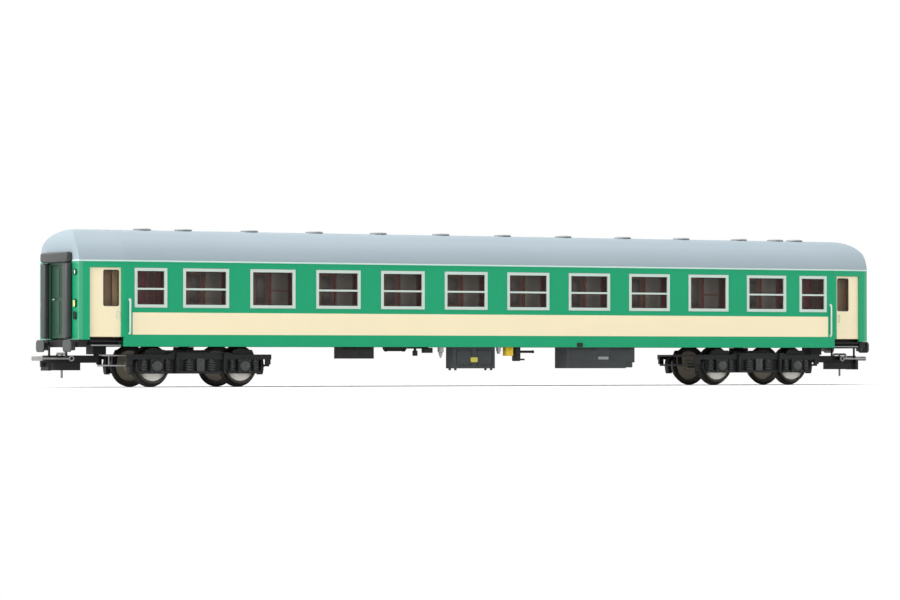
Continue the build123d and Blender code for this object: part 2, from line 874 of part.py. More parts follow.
# Bogie frame at end b
beam_level = beam_top - beam_end_drop
beam_shoulder = wheelbase / 2 - beam_centre_margin
frame_half = side_frame_outer - end_rib_width
with BuildPart() as bogie_frame:
    # side frames, one profile extruded on the corridor side and mirrored
    with BuildSketch(Plane.XZ.offset(side_frame_inner)):
        with BuildLine():
            Polyline(
                (bogie_x, beam_top),
                (bogie_x + beam_shoulder, beam_top),
                (bogie_x + beam_shoulder + beam_slope, beam_level),
                (bogie_x + bogie_half_length, beam_level),
                (bogie_x + bogie_half_length, beam_bottom),
                (bogie_x, beam_bottom),
                close=True,
            )
        make_face()
        with Locations((bogie_x, plank_bottom)):
            Rectangle(plank_half, plank_thickness, align=(Align.MIN, Align.MIN))
        with Locations((bogie_x + plank_half, plank_bottom)):
            Rectangle(link_width, beam_bottom - plank_bottom, align=(Align.MAX, Align.MIN))
        with Locations((bogie_x + wheelbase / 2, plank_bottom)):
            Rectangle(axlebox_width, beam_bottom - plank_bottom, align=(Align.CENTER, Align.MIN))
            Rectangle(2 * wing_half, plank_thickness, align=(Align.CENTER, Align.MIN))
        mirror(about=Plane.YZ.offset(bogie_x))
    extrude(amount=side_frame_thickness)
    # a web behind the springs, and a bracket over each axlebox
    with BuildSketch(Plane.XZ.offset(side_frame_inner)):
        with Locations((bogie_x, plank_bottom)):
            Rectangle(wheelbase + 2 * wing_half, beam_bottom - plank_bottom, align=(Align.CENTER, Align.MIN))
        for place in axle_places:
            with Locations((bogie_x + place, beam_level)):
                Trapezoid(bracket_foot, bracket_rise, bracket_angle, align=(Align.CENTER, Align.MIN))
    extrude(amount=web_thickness)
    with BuildSketch(Plane.XZ.offset(side_frame_outer)):
        for place in axle_places:
            with Locations((bogie_x + place, axle_height)):
                Rectangle(axlebox_width, axlebox_width)
    extrude(amount=axlebox_proud)
    with BuildSketch(Plane.XZ.offset(side_frame_outer + axlebox_proud)):
        for place in axle_places:
            with Locations((bogie_x + place, axle_height)):
                RegularPolygon(axlebox_cover_radius, rod_sides)
    extrude(amount=axlebox_cover_proud)
    # blind bearings for the axle ends
    with BuildSketch(Plane.XZ.offset(side_frame_inner)):
        for place in axle_places:
            with Locations((bogie_x + place, axle_height)):
                RegularPolygon(axle_radius + bearing_gap, disc_sides, major_radius=False)
    extrude(amount=axle_seat + bearing_gap, mode=Mode.SUBTRACT)
    mirror(about=Plane.XZ)
    # bolster with the centre plate and the pivot
    with BuildSketch(Plane.XY.offset(bolster_top)):
        with Locations((bogie_x, 0)):
            Rectangle(2 * bolster_half, 2 * side_frame_inner)
    extrude(amount=-bolster_depth)
    with BuildSketch(Plane.XY.offset(bolster_top)):
        with Locations((bogie_x, 0)):
            RegularPolygon(centre_plate_radius, disc_sides)
    extrude(amount=centre_plate_height)
    with BuildSketch(Plane.XY.offset(centre_plate_top)):
        with Locations((bogie_x, 0)):
            Circle(pivot_radius)
    extrude(amount=floor_top - centre_plate_top)
    # end beams: a plate above, a bar below and ribs between them
    for place in axle_places:
        side = 1 if place > 0 else -1
        beam_place = bogie_x + side * (bogie_half_length - end_beam_width / 2)
        with BuildSketch(Plane.XY.offset(end_plate_top)):
            with Locations((beam_place, 0)):
                Rectangle(end_beam_width, 2 * side_frame_outer)
        extrude(amount=-end_plate_thickness)
        with BuildSketch(Plane.XY.offset(end_bar_top)):
            with Locations((beam_place, 0)):
                Rectangle(end_beam_width, 2 * side_frame_inner)
        extrude(amount=-end_plate_thickness)
        with BuildSketch(Plane.XY.offset(end_bar_top)):
            with Locations((beam_place, 0), (beam_place, -frame_half), (beam_place, frame_half)):
                Rectangle(end_beam_width, end_rib_width)
        extrude(amount=end_plate_top - end_plate_thickness - end_bar_top)
        # brake shoes hang from the end beam, round the wheel treads
        shoe_row = (back_to_back + wheel_width) / 2 + flange_thickness / 2
        for row in (-shoe_row, shoe_row):
            with BuildSketch(Plane.XZ.offset(row - shoe_width / 2)):
                with Locations((bogie_x + place, axle_height)):
                    RegularPolygon(axle_height + shoe_gap + shoe_thickness, shoe_sides)
                    RegularPolygon(
                        axle_height + shoe_gap,
                        shoe_sides,
                        major_radius=False,
                        mode=Mode.SUBTRACT,
                    )
                with Locations((bogie_x + side * bogie_half_length, shoe_bottom)):
                    Rectangle(
                        2 * (bogie_half_length - wheelbase / 2 - axle_height / 2),
                        end_plate_top - end_plate_thickness - shoe_bottom,
                        align=(Align.CENTER, Align.MIN),
                        mode=Mode.INTERSECT,
                    )
            extrude(amount=shoe_width)
keep_ends(bogie_frame.part, "bogie_frame")

# Coil springs in front of the web, beside the axleboxes and under the bolster
with BuildPart() as springs:
    with BuildSketch(Plane.XY.offset(plank_bottom + plank_thickness)):
        row = -side_frame_inner - side_frame_thickness / 2
        spring_back = side_frame_inner + web_thickness + spring_gap
        for place in axle_places:
            for shift in (-primary_spring_offset, primary_spring_offset):
                with Locations((bogie_x + place + shift, row)):
                    RegularPolygon(primary_spring_radius, rod_sides)
        for shift in (-secondary_spring_offset, secondary_spring_offset):
            with Locations((bogie_x + shift, row)):
                RegularPolygon(secondary_spring_radius, rod_sides)
        with Locations((bogie_x, 0)):
            Rectangle(2 * bogie_half_length, 2 * spring_back, mode=Mode.SUBTRACT)
    extrude(amount=beam_bottom - plank_bottom - plank_thickness)
    mirror(about=Plane.XZ)
keep_ends(springs.part, "bogie_springs")


# Wheelsets: a round axle with two pressed-on wheels
def axle(x):
    with BuildPart() as shaft:
        with BuildSketch(Plane.XZ.offset(-axle_length / 2)):
            with Locations((x, axle_height)):
                Circle(axle_radius)
        extrude(amount=axle_length)
    return shaft.part


def wheels(x):
    back = back_to_back / 2
    front = back + wheel_width
    bore = axle_radius + wheel_bore_gap
    with BuildPart() as pair:
        with BuildSketch(Plane(origin=(x, 0, axle_height), x_dir=(0, 1, 0), z_dir=(1, 0, 0))):
            with BuildLine():
                Polyline(
                    (back, bore),
                    (back, tread_radius + flange_depth),
                    (back + flange_thickness, tread_radius),
                    (front, tread_radius),
                    (front, bore),
                    close=True,
                )
            make_face()
        revolve(axis=Axis((x, 0, axle_height), (0, 1, 0)))
        mirror(about=Plane.XZ)
    return pair.part


for name, place in (("outer", wheelbase / 2), ("inner", -wheelbase / 2)):
    keep_ends(axle(bogie_x + place), f"axle_{name}")
    keep_ends(wheels(bogie_x + place), f"wheels_{name}")

# Coupler at end b: an eye on the underframe's pin, a shank, a pocket and a face with a hook
with BuildPart() as coupler:
    with BuildSketch(Plane.XY.offset(shank_bottom)):
        with Locations((coupler_pivot, 0)):
            RegularPolygon(coupler_eye_radius, disc_sides)
            Rectangle(coupler_face - coupler_pivot, shank_width, align=(Align.MIN, Align.CENTER))
            RegularPolygon(
                coupler_pin_radius + coupler_pin_gap,
                disc_sides,
                major_radius=False,
                mode=Mode.SUBTRACT,
            )
    extrude(amount=shank_height)
    with BuildSketch(Plane.XY.offset(pocket_bottom)):
        with Locations(((pocket_start + pocket_end) / 2, 0)):
            Rectangle(pocket_end - pocket_start, pocket_width)
    extrude(amount=shank_bottom - pocket_bottom)
    with BuildSketch(Plane.YZ.offset(coupler_face)):
        with Locations((0, face_bottom)):
            Rectangle(face_width, face_top - face_bottom, align=(Align.CENTER, Align.MIN))
    extrude(amount=-face_thickness)
    with BuildSketch(Plane.XZ.offset(-hook_width / 2)):
        with Locations((coupler_face, hook_bottom)):
            Rectangle(hook_reach, hook_height, align=(Align.MIN, Align.MIN))
        with Locations((coupler_face + hook_reach, hook_bottom)):
            Rectangle(hook_reach / 2, face_top - hook_bottom, align=(Align.MAX, Align.MIN))
    extrude(amount=hook_width)
    with BuildSketch(Plane.XZ.offset(-loop_width / 2)):
        with Locations((loop_pivot, loop_pivot_height)):
            Circle(loop_pin_radius)
    extrude(amount=loop_width)
    with BuildSketch(Plane.XY.offset(pocket_bottom)):
        with Locations((tail_place - slot_behind, 0)):
            Rectangle(slot_behind + slot_ahead, slot_width, align=(Align.MIN, Align.CENTER))
    extrude(amount=shank_top - pocket_bottom, mode=Mode.SUBTRACT)
keep_ends(coupler.part, "coupler")

# Coupler loop: two arms and a front bar, lifted by the tail that hangs through the slot
bridge_bottom = shank_top + tail_clearance
with BuildPart() as loop:
    with BuildSketch(Plane.XZ.offset(loop_width / 2 - loop_wire)):
        with Locations((loop_pivot, loop_pivot_height)):
            RegularPolygon(loop_eye / 2, disc_sides)
            Rectangle(loop_reach - loop_pivot, loop_wire, align=(Align.MIN, Align.CENTER))
        with Locations((tail_place, loop_pivot_height)):
            Rectangle(loop_wire, bridge_bottom + loop_wire - loop_pivot_height, align=(Align.CENTER, Align.MIN))
        with Locations((loop_pivot, loop_pivot_height)):
            RegularPolygon(
                loop_pin_radius + loop_pin_gap,
                disc_sides,
                major_radius=False,
                mode=Mode.SUBTRACT,
            )
    extrude(amount=loop_wire)
    mirror(about=Plane.XZ)
    with BuildSketch(Plane.XZ.offset(-loop_width / 2)):
        with Locations((loop_reach, loop_pivot_height)):
            Rectangle(loop_wire, 2 * loop_wire, align=(Align.MAX, Align.CENTER))
        with Locations((tail_place, bridge_bottom)):
            Rectangle(loop_wire, loop_wire, align=(Align.CENTER, Align.MIN))
    extrude(amount=loop_width)
    with BuildSketch(Plane.XY.offset(tail_bottom)):
        with Locations((tail_place, 0)):
            Rectangle(loop_wire, loop_wire)
    extrude(amount=bridge_bottom - tail_bottom)
keep_ends(loop.part, "coupler_loop")
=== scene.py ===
import json
import math

import bmesh
import bpy
import numpy as np
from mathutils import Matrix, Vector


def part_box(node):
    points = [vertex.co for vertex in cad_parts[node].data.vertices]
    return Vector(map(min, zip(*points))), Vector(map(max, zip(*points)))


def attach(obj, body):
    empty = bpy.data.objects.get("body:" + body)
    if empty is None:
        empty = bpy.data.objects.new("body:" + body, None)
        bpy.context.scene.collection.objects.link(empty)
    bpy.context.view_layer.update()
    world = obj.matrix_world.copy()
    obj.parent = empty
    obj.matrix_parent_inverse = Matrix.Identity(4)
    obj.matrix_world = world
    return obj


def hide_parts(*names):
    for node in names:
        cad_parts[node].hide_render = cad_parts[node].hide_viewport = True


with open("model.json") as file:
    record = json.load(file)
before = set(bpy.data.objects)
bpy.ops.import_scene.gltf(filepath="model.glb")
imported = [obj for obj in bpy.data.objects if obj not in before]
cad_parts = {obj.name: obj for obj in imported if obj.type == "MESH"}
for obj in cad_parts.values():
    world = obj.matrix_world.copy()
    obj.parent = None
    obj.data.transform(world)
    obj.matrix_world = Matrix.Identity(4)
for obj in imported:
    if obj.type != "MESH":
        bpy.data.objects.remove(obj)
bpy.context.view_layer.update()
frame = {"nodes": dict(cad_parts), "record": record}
nodes = frame["nodes"]
scene = bpy.context.scene
mm = 0.001  # sizes below are in millimetres; the frame, the meshes and the shaders are in metres
ends = {"a": -1, "b": 1}  # end a is at -X, end b at +X
sides = (-1, 1)
quarters = ((-1, -1), (-1, 1), (1, -1), (1, 1))
print("frame loaded:", len(nodes), "nodes")


class Shape(dict):
    # the numbers of a piece or a finish by name, read with a dot
    __getattr__ = dict.__getitem__


def tint(red, green, blue):
    # screen colour 0..255 to linear light
    screen = np.array((red, green, blue)) / 255
    linear = np.where(screen <= 0.04045, screen / 12.92, ((screen + 0.055) / 1.055) ** 2.4)
    return (*linear.tolist(), 1.0)


def scaled(colour, level):
    return tuple(part * level for part in colour[:3]) + (1.0,)


def operator(operation, swapped=False):
    # method of Value that adds one Math node
    return lambda value, other=0.0: value.calc(operation, other, swapped)


class Value:
    # one output socket of a node tree; the usual operators add Math nodes
    def __init__(self, tree, out):
        self.tree = tree
        self.out = out

    def calc(self, operation, other=0.0, swapped=False):
        first, second = (other, self) if swapped else (self, other)
        return self.tree.node("ShaderNodeMath", {"operation": operation}, {0: first, 1: second})

    __add__ = __radd__ = operator("ADD")
    __sub__ = operator("SUBTRACT")
    __rsub__ = operator("SUBTRACT", True)
    __mul__ = __rmul__ = operator("MULTIPLY")
    __gt__ = operator("GREATER_THAN")
    __lt__ = operator("LESS_THAN")
    __abs__ = operator("ABSOLUTE")

    def ramp(self, low, high):
        # smooth step from 0 at low to 1 at high
        limits = {"Value": self, "From Min": low, "From Max": high}
        return self.tree.node("ShaderNodeMapRange", {"interpolation_type": "SMOOTHSTEP"}, limits)


class Tree:
    # the nodes of a material or of the world
    def __init__(self, owner):
        owner.use_nodes = True
        self.owner = owner
        self.made = owner.node_tree.nodes
        self.made.clear()

    def node(self, kind, settings=(), sockets=(), output=0):
        made = self.made.new(kind)
        for key, value in dict(settings).items():
            setattr(made, key, value)
        for key, value in dict(sockets).items():
            self.feed(made.inputs[key], value)
        return Value(self, made.outputs[output]) if made.outputs else made

    def feed(self, socket, value):
        if isinstance(value, Value):
            self.owner.node_tree.links.new(value.out, socket)
        else:
            socket.default_value = value

    def coords(self):
        return self.node("ShaderNodeTexCoord", output="Object")

    def place(self, axis):
        # distance along one axis of the object, in metres
        return self.node("ShaderNodeSeparateXYZ", {}, {0: self.coords()}, axis)

    def noise(self, size, detail=3.0, stretch=(1, 1, 1)):
        # soft noise about 0.5, with blotches of the given size
        scale = [part / (size * mm) for part in stretch]
        spread = self.node("ShaderNodeMapping", {}, {"Vector": self.coords(), "Scale": scale})
        return self.node("ShaderNodeTexNoise", {}, {"Vector": spread, "Scale": 1.0, "Detail": detail})

    def mix(self, factor, first, second):
        return self.node("ShaderNodeMix", {"data_type": "RGBA"}, {"Factor": factor, 6: first, 7: second}, 2)

    def seen(self):
        # 1 for rays that come straight, by reflection or through glass from the camera
        kinds = ("Is Camera Ray", "Is Glossy Ray", "Is Transmission Ray")
        straight, mirrored, through = [self.node("ShaderNodeLightPath", output=kind) for kind in kinds]
        return straight.calc("MAXIMUM", mirrored).calc("MAXIMUM", through)


edgeLook = Shape(samples=4, gain=6, bump=0.6)


class Finish(Tree):
    # a material: one Principled shader and the nodes that feed it, by the numbers of a look
    def __init__(self, name, look, **fixed):
        super().__init__(bpy.data.materials.new(name))
        self.look = look
        self.surface = self.node("ShaderNodeBsdfPrincipled")
        self.node("ShaderNodeOutputMaterial", {}, {"Surface": self.surface})
        self.paint(**fixed)
        if "rounding" in look:
            bevel = {"Radius": look.rounding * mm}
            self.rounded = self.node("ShaderNodeBevel", {"samples": edgeLook.samples}, bevel)

    def paint(self, **sockets):
        # base_color becomes Base Color, and so on
        inputs = self.surface.out.node.inputs
        for key, value in sockets.items():
            self.feed(inputs[key.replace("_", " ").title().replace("Ior", "IOR")], value)

    def grain(self):
        return self.noise(*self.look.grain)

    def mottled(self, colour, shade, mask):
        # colour that wanders between a darker shade of itself and itself
        return self.mix(mask, scaled(colour, shade), colour)

    def edgeWearAndHighlight(self):
        # patches along the edges, painted paler as wear and as painted highlight: 0 on flat faces, up to 1
        # where the rounded direction leaves the true one
        ways = {0: self.rounded, 1: self.node("ShaderNodeNewGeometry", output="Normal")}
        facing = self.node("ShaderNodeVectorMath", {"operation": "DOT_PRODUCT"}, ways, "Value")
        edge = ((1 - facing) * edgeLook.gain).calc("MINIMUM", 1.0)
        return edge * self.noise(self.look.patch).ramp(*self.look.rubRange)

    def coat(self, colour, roughness, height):
        # colour, gloss that follows a fine height, and that height as relief over the rounded edges
        look = self.look
        self.paint(base_color=colour, roughness=roughness + (height - 0.5) * look.gloss)
        if "depth" in look:
            relief = {"Height": height, "Distance": look.depth * mm, "Normal": self.rounded}
            self.paint(normal=self.node("ShaderNodeBump", {}, {**relief, "Strength": edgeLook.bump}))
        return self.owner


# Finishes: a grain is its size, detail and stretch

plainLook = Shape(
    wander=9.0, grain=(0.4, 2.0), depth=0.02, rounding=0.1, gloss=0.16, shade=0.82,
    # patch, its range and the edge lift set the paler edges: partly wear, partly painted highlight
    patch=1.6, rubRange=(0.3, 0.7), rub=1.7, rubGloss=0.08,
)
livery = Shape(
    green=(22, 158, 110), greenShade=0.92, cream=(244, 230, 194), creamShade=0.96,
    bandRows=(15.5, 22.0), bandHalfLength=122.75,
    # the pale mint below is painted on the edges: partly wear, partly painted highlight
    worn=(150, 205, 178), wornShare=0.5, patch=2.0, rubRange=(0.35, 0.7),
    wander=12.0, grain=(0.35, 2.0), depth=0.006, rounding=0.12, roughness=0.4, gloss=0.1,
)
roofLook = Shape(
    # the pale gutter colour is a painted highlight along the gutter edge
    grey=(159, 173, 181), shade=0.93, gutter=(200, 224, 218), gutterTop=37.4,
    wander=(16.0, 3.0, (0.4, 1, 1)), grain=(0.35, 2.0), depth=0.006, rounding=0.2, roughness=0.58, gloss=0.12,
)
glassLook = Shape(tone=(0.84, 0.84, 0.82, 1.0), grain=(3.0,), roughness=0.045, gloss=0.05)
lensLook = Shape(grain=(0.5, 1.0, (0.2, 1, 4)), roughness=0.17, gloss=0.1)
veneerLook = Shape(grain=(2.4, 4.0, (1, 1, 0.12)), depth=0.02, rounding=0.08, roughness=0.525, gloss=0.15)
clothLook = Shape(
    dark=(136, 42, 42), light=(204, 84, 74), weave=0.5, weaveShare=0.4,
    grain=(4.0,), depth=0.05, rounding=0.15, roughness=0.875, gloss=0.15,
)
wheelLook = Shape(
    bright=(204, 201, 194), shade=0.86, back=(196, 187, 168), faceRange=(8.6, 8.9), metal=0.1, faceMetal=0.7,
    roughness=0.445, faceGloss=0.12, wander=3.0, wanderGloss=0.1,
    ringPitch=0.16, gloss=0.05, depth=0.004, rounding=0.08,
)
dull = {"specular_ior_level": 0.25}
varnish = {"coat_weight": 0.9, "coat_roughness": 0.12}
lacquer = {"coat_weight": 0.8, "coat_roughness": 0.05}


def plain(name, screen, roughness, metallic=0.0, fixed=(), **own):
    # moulded or painted surface: its colour wanders a little and its edges are painted paler in patches,
    # partly wear and partly painted highlight
    look = Shape(plainLook, **own)
    finish, colour = Finish(name, look, metallic=metallic, **dict(fixed)), tint(*screen)
    edgeWearAndHighlight = finish.edgeWearAndHighlight()
    body = finish.mottled(colour, look.shade, finish.noise(look.wander))
    # paler copy of the colour on the edges: partly wear, partly painted highlight
    paint = finish.mix(edgeWearAndHighlight, body, scaled(colour, look.rub))
    return finish.coat(paint, roughness - edgeWearAndHighlight * look.rubGloss, finish.grain())


def grained(name, look, dark, light, **fixed):
    # two tones that follow the grain
    finish = Finish(name, look, **fixed)
    grain = finish.grain()
    return finish.coat(finish.mix(grain, tint(*dark), tint(*light)), look.roughness, grain)


def liveryFinish():
    # side paint: one band of cream on green, with pale mint along its edges in patches, partly wear and partly
    # painted highlight
    finish = Finish("sidePaint", livery, coat_weight=0.04, coat_roughness=0.25, specular_ior_level=0.2)
    up, (low, high) = finish.place("Z"), livery.bandRows
    band = (up > low * mm) * (up < high * mm) * (abs(finish.place("X")) < livery.bandHalfLength * mm)
    wander = finish.noise(livery.wander)
    green = finish.mottled(tint(*livery.green), livery.greenShade, wander)
    cream = finish.mottled(tint(*livery.cream), livery.creamShade, wander)
    worn = finish.edgeWearAndHighlight() * livery.wornShare
    paint = finish.mix(worn, finish.mix(band, green, cream), tint(*livery.worn))
    return finish.coat(paint, livery.roughness, finish.grain())


def roofFinish():
    # roof paint with a painted highlight along the gutters: a pale colour below the gutter height
    look = roofLook
    finish = Finish("roofPaint", look, specular_ior_level=0.2)
    grey = finish.mottled(tint(*look.grey), look.shade, finish.noise(*look.wander))
    # pale colour under the gutter height: painted highlight where the gutter edge catches the light
    paint = finish.mix(finish.place("Z") < look.gutterTop * mm, grey, tint(*look.gutter))
    return finish.coat(paint, look.roughness, finish.grain())


def glassFinish():
    # clear moulding with faint smears in its gloss
    finish = Finish("clearGlazing", glassLook, transmission_weight=1.0, ior=1.25)
    return finish.coat(glassLook.tone, glassLook.roughness, finish.grain())


def clothFinish():
    # moulded seat covers: fine check of two reds
    look = clothLook
    finish = Finish("seatCloth", look, sheen_weight=0.3)
    squares = {"Vector": finish.coords(), "Scale": 1 / (look.weave * mm)}
    weave, wander = finish.node("ShaderNodeTexChecker", {}, squares, 1), finish.grain()
    share = weave * look.weaveShare + wander * (1 - look.weaveShare)
    return finish.coat(finish.mix(share, tint(*look.dark), tint(*look.light)), look.roughness, wander)


def wheelFinish():
    # bright turned face with fine rings about the axle; the wheel's back is dull
    look = wheelLook
    finish = Finish("wheelFace", look)
    low, high = look.faceRange
    face = abs(finish.place("Y")).ramp(low * mm, high * mm)
    radius = finish.node("ShaderNodeAttribute", {"attribute_name": "fromAxle"}, {}, "Fac")
    rings = (radius * (2 * math.pi / look.ringPitch)).calc("SINE")
    wander = finish.noise(look.wander)
    bright = finish.mottled(tint(*look.bright), look.shade, wander)
    finish.paint(metallic=face * look.faceMetal + look.metal)
    roughness = look.roughness - face * look.faceGloss + wander * look.wanderGloss
    return finish.coat(finish.mix(face, tint(*look.back), bright), roughness, rings)


finishes = {
    "livery": liveryFinish(),
    "endGreen": plain("endPaint", livery.green, 0.4, fixed=varnish, depth=0.006, shade=0.92, rub=1.5),
    "roof": roofFinish(),
    "vent": plain("ventGrey", (170, 173, 174), 0.5, rub=1.2),
    "cream": plain("doorPaint", (240, 227, 190), 0.4, depth=0.006, shade=0.95, rub=1.05),
    "silver": plain("frameSilver", (198, 214, 206), 0.36, 0.2, shade=0.9, rub=1.15),
    "glass": glassFinish(),
    "rubber": plain("gangwayRubber", (58, 59, 60), 0.42, grain=(0.6, 2.0), depth=0.03, shade=0.8, rub=1.3),
    "gasket": plain("gasketRubber", (46, 46, 48), 0.6, grain=(0.3, 2.0), depth=0.01),
    "endDoor": plain("endDoorGreen", (34, 70, 53), 0.45, rub=1.4),
    "lens": grained("lampLens", lensLook, (214, 214, 200), (248, 247, 236), **lacquer),
    # the strong edge lift on the black finishes, here and for the bogie, paints highlights along their edges
    "black": plain("frameBlack", (30, 31, 32), 0.5, fixed=dull, rub=5.0),
    "buffer": plain("bufferGrey", (66, 68, 69), 0.45, rub=1.5),
    "bogie": plain("bogieBlack", (32, 33, 34), 0.5, fixed=dull, depth=0.03, rub=5.0),
    "bogieGrey": plain("bogieGrey", (62, 63, 64), 0.45, rub=1.8),
    "box": plain("boxGrey", (62, 65, 67), 0.5, fixed=dull, rub=2.2),
    "yellow": plain("valveYellow", (236, 198, 22), 0.4, rub=1.15),
    "plateGrey": plain("plateGrey", (146, 150, 150), 0.4, rub=1.2),
    "plateYellow": plain("plateYellow", (204, 194, 74), 0.4, rub=1.2),
    "socketYellow": plain("socketYellow", (214, 218, 128), 0.45, rub=1.1),
    "spring": plain("springGrey", (58, 59, 60), 0.4, rub=1.8),
    "veneer": grained("corridorVeneer", veneerLook, (104, 72, 58), (160, 116, 92)),
    "doorVeneer": grained("doorVeneer", veneerLook, (104, 66, 48), (140, 96, 66)),
    "lining": grained("liningVeneer", veneerLook, (226, 178, 122), (250, 214, 160)),
    "screen": grained("screenVeneer", veneerLook, (150, 112, 78), (184, 142, 104)),
    "smoke": plain("doorLightBrown", (84, 68, 60), 0.3, rub=1.2),
    "post": plain("postRed", (140, 50, 50), 0.5, rub=1.3),
    "sidelight": plain("sidelightGrey", (150, 136, 126), 0.35, rub=1.2),
    "cloth": clothFinish(),
    "ballast": plain("ballastSteel", (120, 120, 118), 0.5, 0.8),
    "axle": plain("axleSteel", (126, 124, 120), 0.35, 0.9),
    "tyre": plain("tyreMetal", (70, 66, 63), 0.34, 0.6, rub=1.8),
    "wheel": wheelFinish(),
    "loop": plain("loopMetal", (158, 158, 156), 0.32, 0.7, rub=1.3),
    "steel": plain("fittingSteel", (168, 170, 170), 0.35, 0.5, rub=1.2),
}
nodeFinishes = {  # start of a CAD node's name: its finish; the longest start counts, and the rest are black
    "side_wall": "livery", "end_wall": "endGreen", "roof": "roof", "roof_vents": "vent",
    "entrance_doors": "cream", "window_frames": "silver", "door_handrails": "silver", "glazing": "glass",
    "door_panes": "glass", "gangway": "rubber", "end_door": "endDoor", "end_lamps": "lens",
    "battery_box": "box", "converter_box": "box", "brake_valve": "yellow", "interior": "veneer",
    "bogie_frame": "bogie", "bogie_springs": "spring",
    "seats": "cloth", "ballast_plate": "ballast", "axle": "axle", "wheels": "wheel", "coupler_loop": "loop",
}
for name, node in nodes.items():
    starts = [start for start in nodeFinishes if name.startswith(start)]
    finish = nodeFinishes[max(starts, key=len)] if starts else "black"
    node.data.materials.clear()
    node.data.materials.append(finishes[finish])
print("finishes:", len(finishes))


# Shapes

weld = 0.002  # points of a node that are nearer than this are one point


def meshPoints(mesh):
    flat = np.empty(3 * len(mesh.vertices))
    mesh.vertices.foreach_get("co", flat)
    return flat.reshape(-1, 3) / mm


def nodeBox(name):
    # lowest and highest corner of a node, and its middle
    low, high = (np.array(corner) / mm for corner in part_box(name))
    return low, high, (low + high) / 2


def solids(name, axis=1):
    # lowest and highest corner of each separate solid of a node, its middle, the side of the axis that it is
    # on, and its near and far face there; points that coincide share a mark, and each triangle's points
    # take its smallest mark until no mark changes
    mesh = nodes[name].data
    points = meshPoints(mesh)
    mesh.calc_loop_triangles()
    corners = np.empty(3 * len(mesh.loop_triangles), np.int32)
    mesh.loop_triangles.foreach_get("vertices", corners)
    label = np.unique(np.round(points / weld).astype(np.int64), axis=0, return_inverse=True)[1].reshape(-1)
    triangles = label[corners.reshape(-1, 3)]
    mark = np.arange(label.max() + 1)
    before = None
    while before is None or (mark != before).any():
        before = mark.copy()
        np.minimum.at(mark, triangles.ravel(), np.repeat(before[triangles].min(axis=1), 3))
        mark = mark[mark]
    found = []
    for own in np.unique(mark[label]):
        mine = points[mark[label] == own]
        low, high = mine.min(axis=0), mine.max(axis=0)
        near, far = sorted((low[axis], high[axis]), key=abs)
        found.append((low, high, (low + high) / 2, 1 if low[axis] + high[axis] > 0 else -1, near, far))
    return found


def lathe(origin, axis, profile, corners=24, way=1):
    # profile of (radius, height) rows turned about an axis (0, 1 or 2) through the origin, heights one way
    turn = np.linspace(0, 2 * np.pi, corners, endpoint=False)
    radius, height = np.array(profile, float).T
    points = np.zeros((len(radius), corners, 3)) + np.asarray(origin, float)
    points[..., (axis + 1) % 3] += radius[:, None] * np.cos(turn)
    points[..., (axis + 2) % 3] += radius[:, None] * np.sin(turn)
    points[..., axis] += way * height[:, None]
    return points


def rod(path, radius, normal, corners=8, closed=False):
    # round rod: a circle carried along a path, its side at right angles to the path and the normal
    along = np.roll(path, -1, axis=0) - np.roll(path, 1, axis=0) if closed else np.gradient(path, axis=0)
    side = np.cross(along, np.asarray(normal, float))
    side /= np.linalg.norm(side, axis=1)[:, None]
    up = np.cross(side, along / np.linalg.norm(along, axis=1)[:, None])
    turn = np.linspace(0, 2 * np.pi, corners, endpoint=False)[None, :, None]
    grid = path[:, None] + radius * (np.cos(turn) * side[:, None] + np.sin(turn) * up[:, None])
    return np.concatenate((grid, grid[:1])) if closed else grid


def pin(first, last, radius, corners=8, rows=3):
    # straight level rod
    return rod(np.linspace(first, last, rows), radius, (0, 0, 1), corners)


def bentPath(corners, radius, steps=6):
    # straight runs whose right-angled corners are quarter circles of the radius
    corners = np.array(corners, float)
    turn = np.linspace(0, np.pi / 2, steps)[:, None]
    runs = [corners[:1]]
    for before, here, after in zip(corners[:-2], corners[1:-1], corners[2:]):
        back = (before - here) / np.linalg.norm(before - here)
        on = (after - here) / np.linalg.norm(after - here)
        runs.append(here + radius * (back * (1 - np.sin(turn)) + on * (1 - np.cos(turn))))
    return np.vstack(runs + [corners[-1:]])


def staple(along, wall, out, rows, bend):
    # upright grip: from the wall out, up and back to the wall
    bottom, top = rows
    return bentPath([(along, wall, bottom), (along, out, bottom), (along, out, top), (along, wall, top)], bend)


def roundedRing(halfWidth, halfHeight, radius, steps=4):
    # rounded rectangle: quarter circles of the radius about its four corner centres, one after another
    quarter = np.arange(4).repeat(steps)
    turn = (quarter + np.tile(np.linspace(0, 1, steps), 4)) * np.pi / 2
    right = np.array((1, -1, -1, 1))[quarter] * (halfWidth - radius)
    above = np.array((1, 1, -1, -1))[quarter] * (halfHeight - radius)
    return np.stack((right + radius * np.cos(turn), above + radius * np.sin(turn)), -1)


def slab(centre, axis, halfWidth, halfHeight, corner, levels, steps=4):
    # rounded rectangles stacked along an axis by (height, inset) rows
    points = np.zeros((len(levels), 4 * steps, 3)) + np.asarray(centre, float)
    for row, (height, inset) in zip(points, levels):
        ring = roundedRing(halfWidth - inset, halfHeight - inset, max(corner - inset, 0), steps)
        row[:, [(axis + 1) % 3, (axis + 2) % 3]] += ring
        row[:, axis] += height
    return points


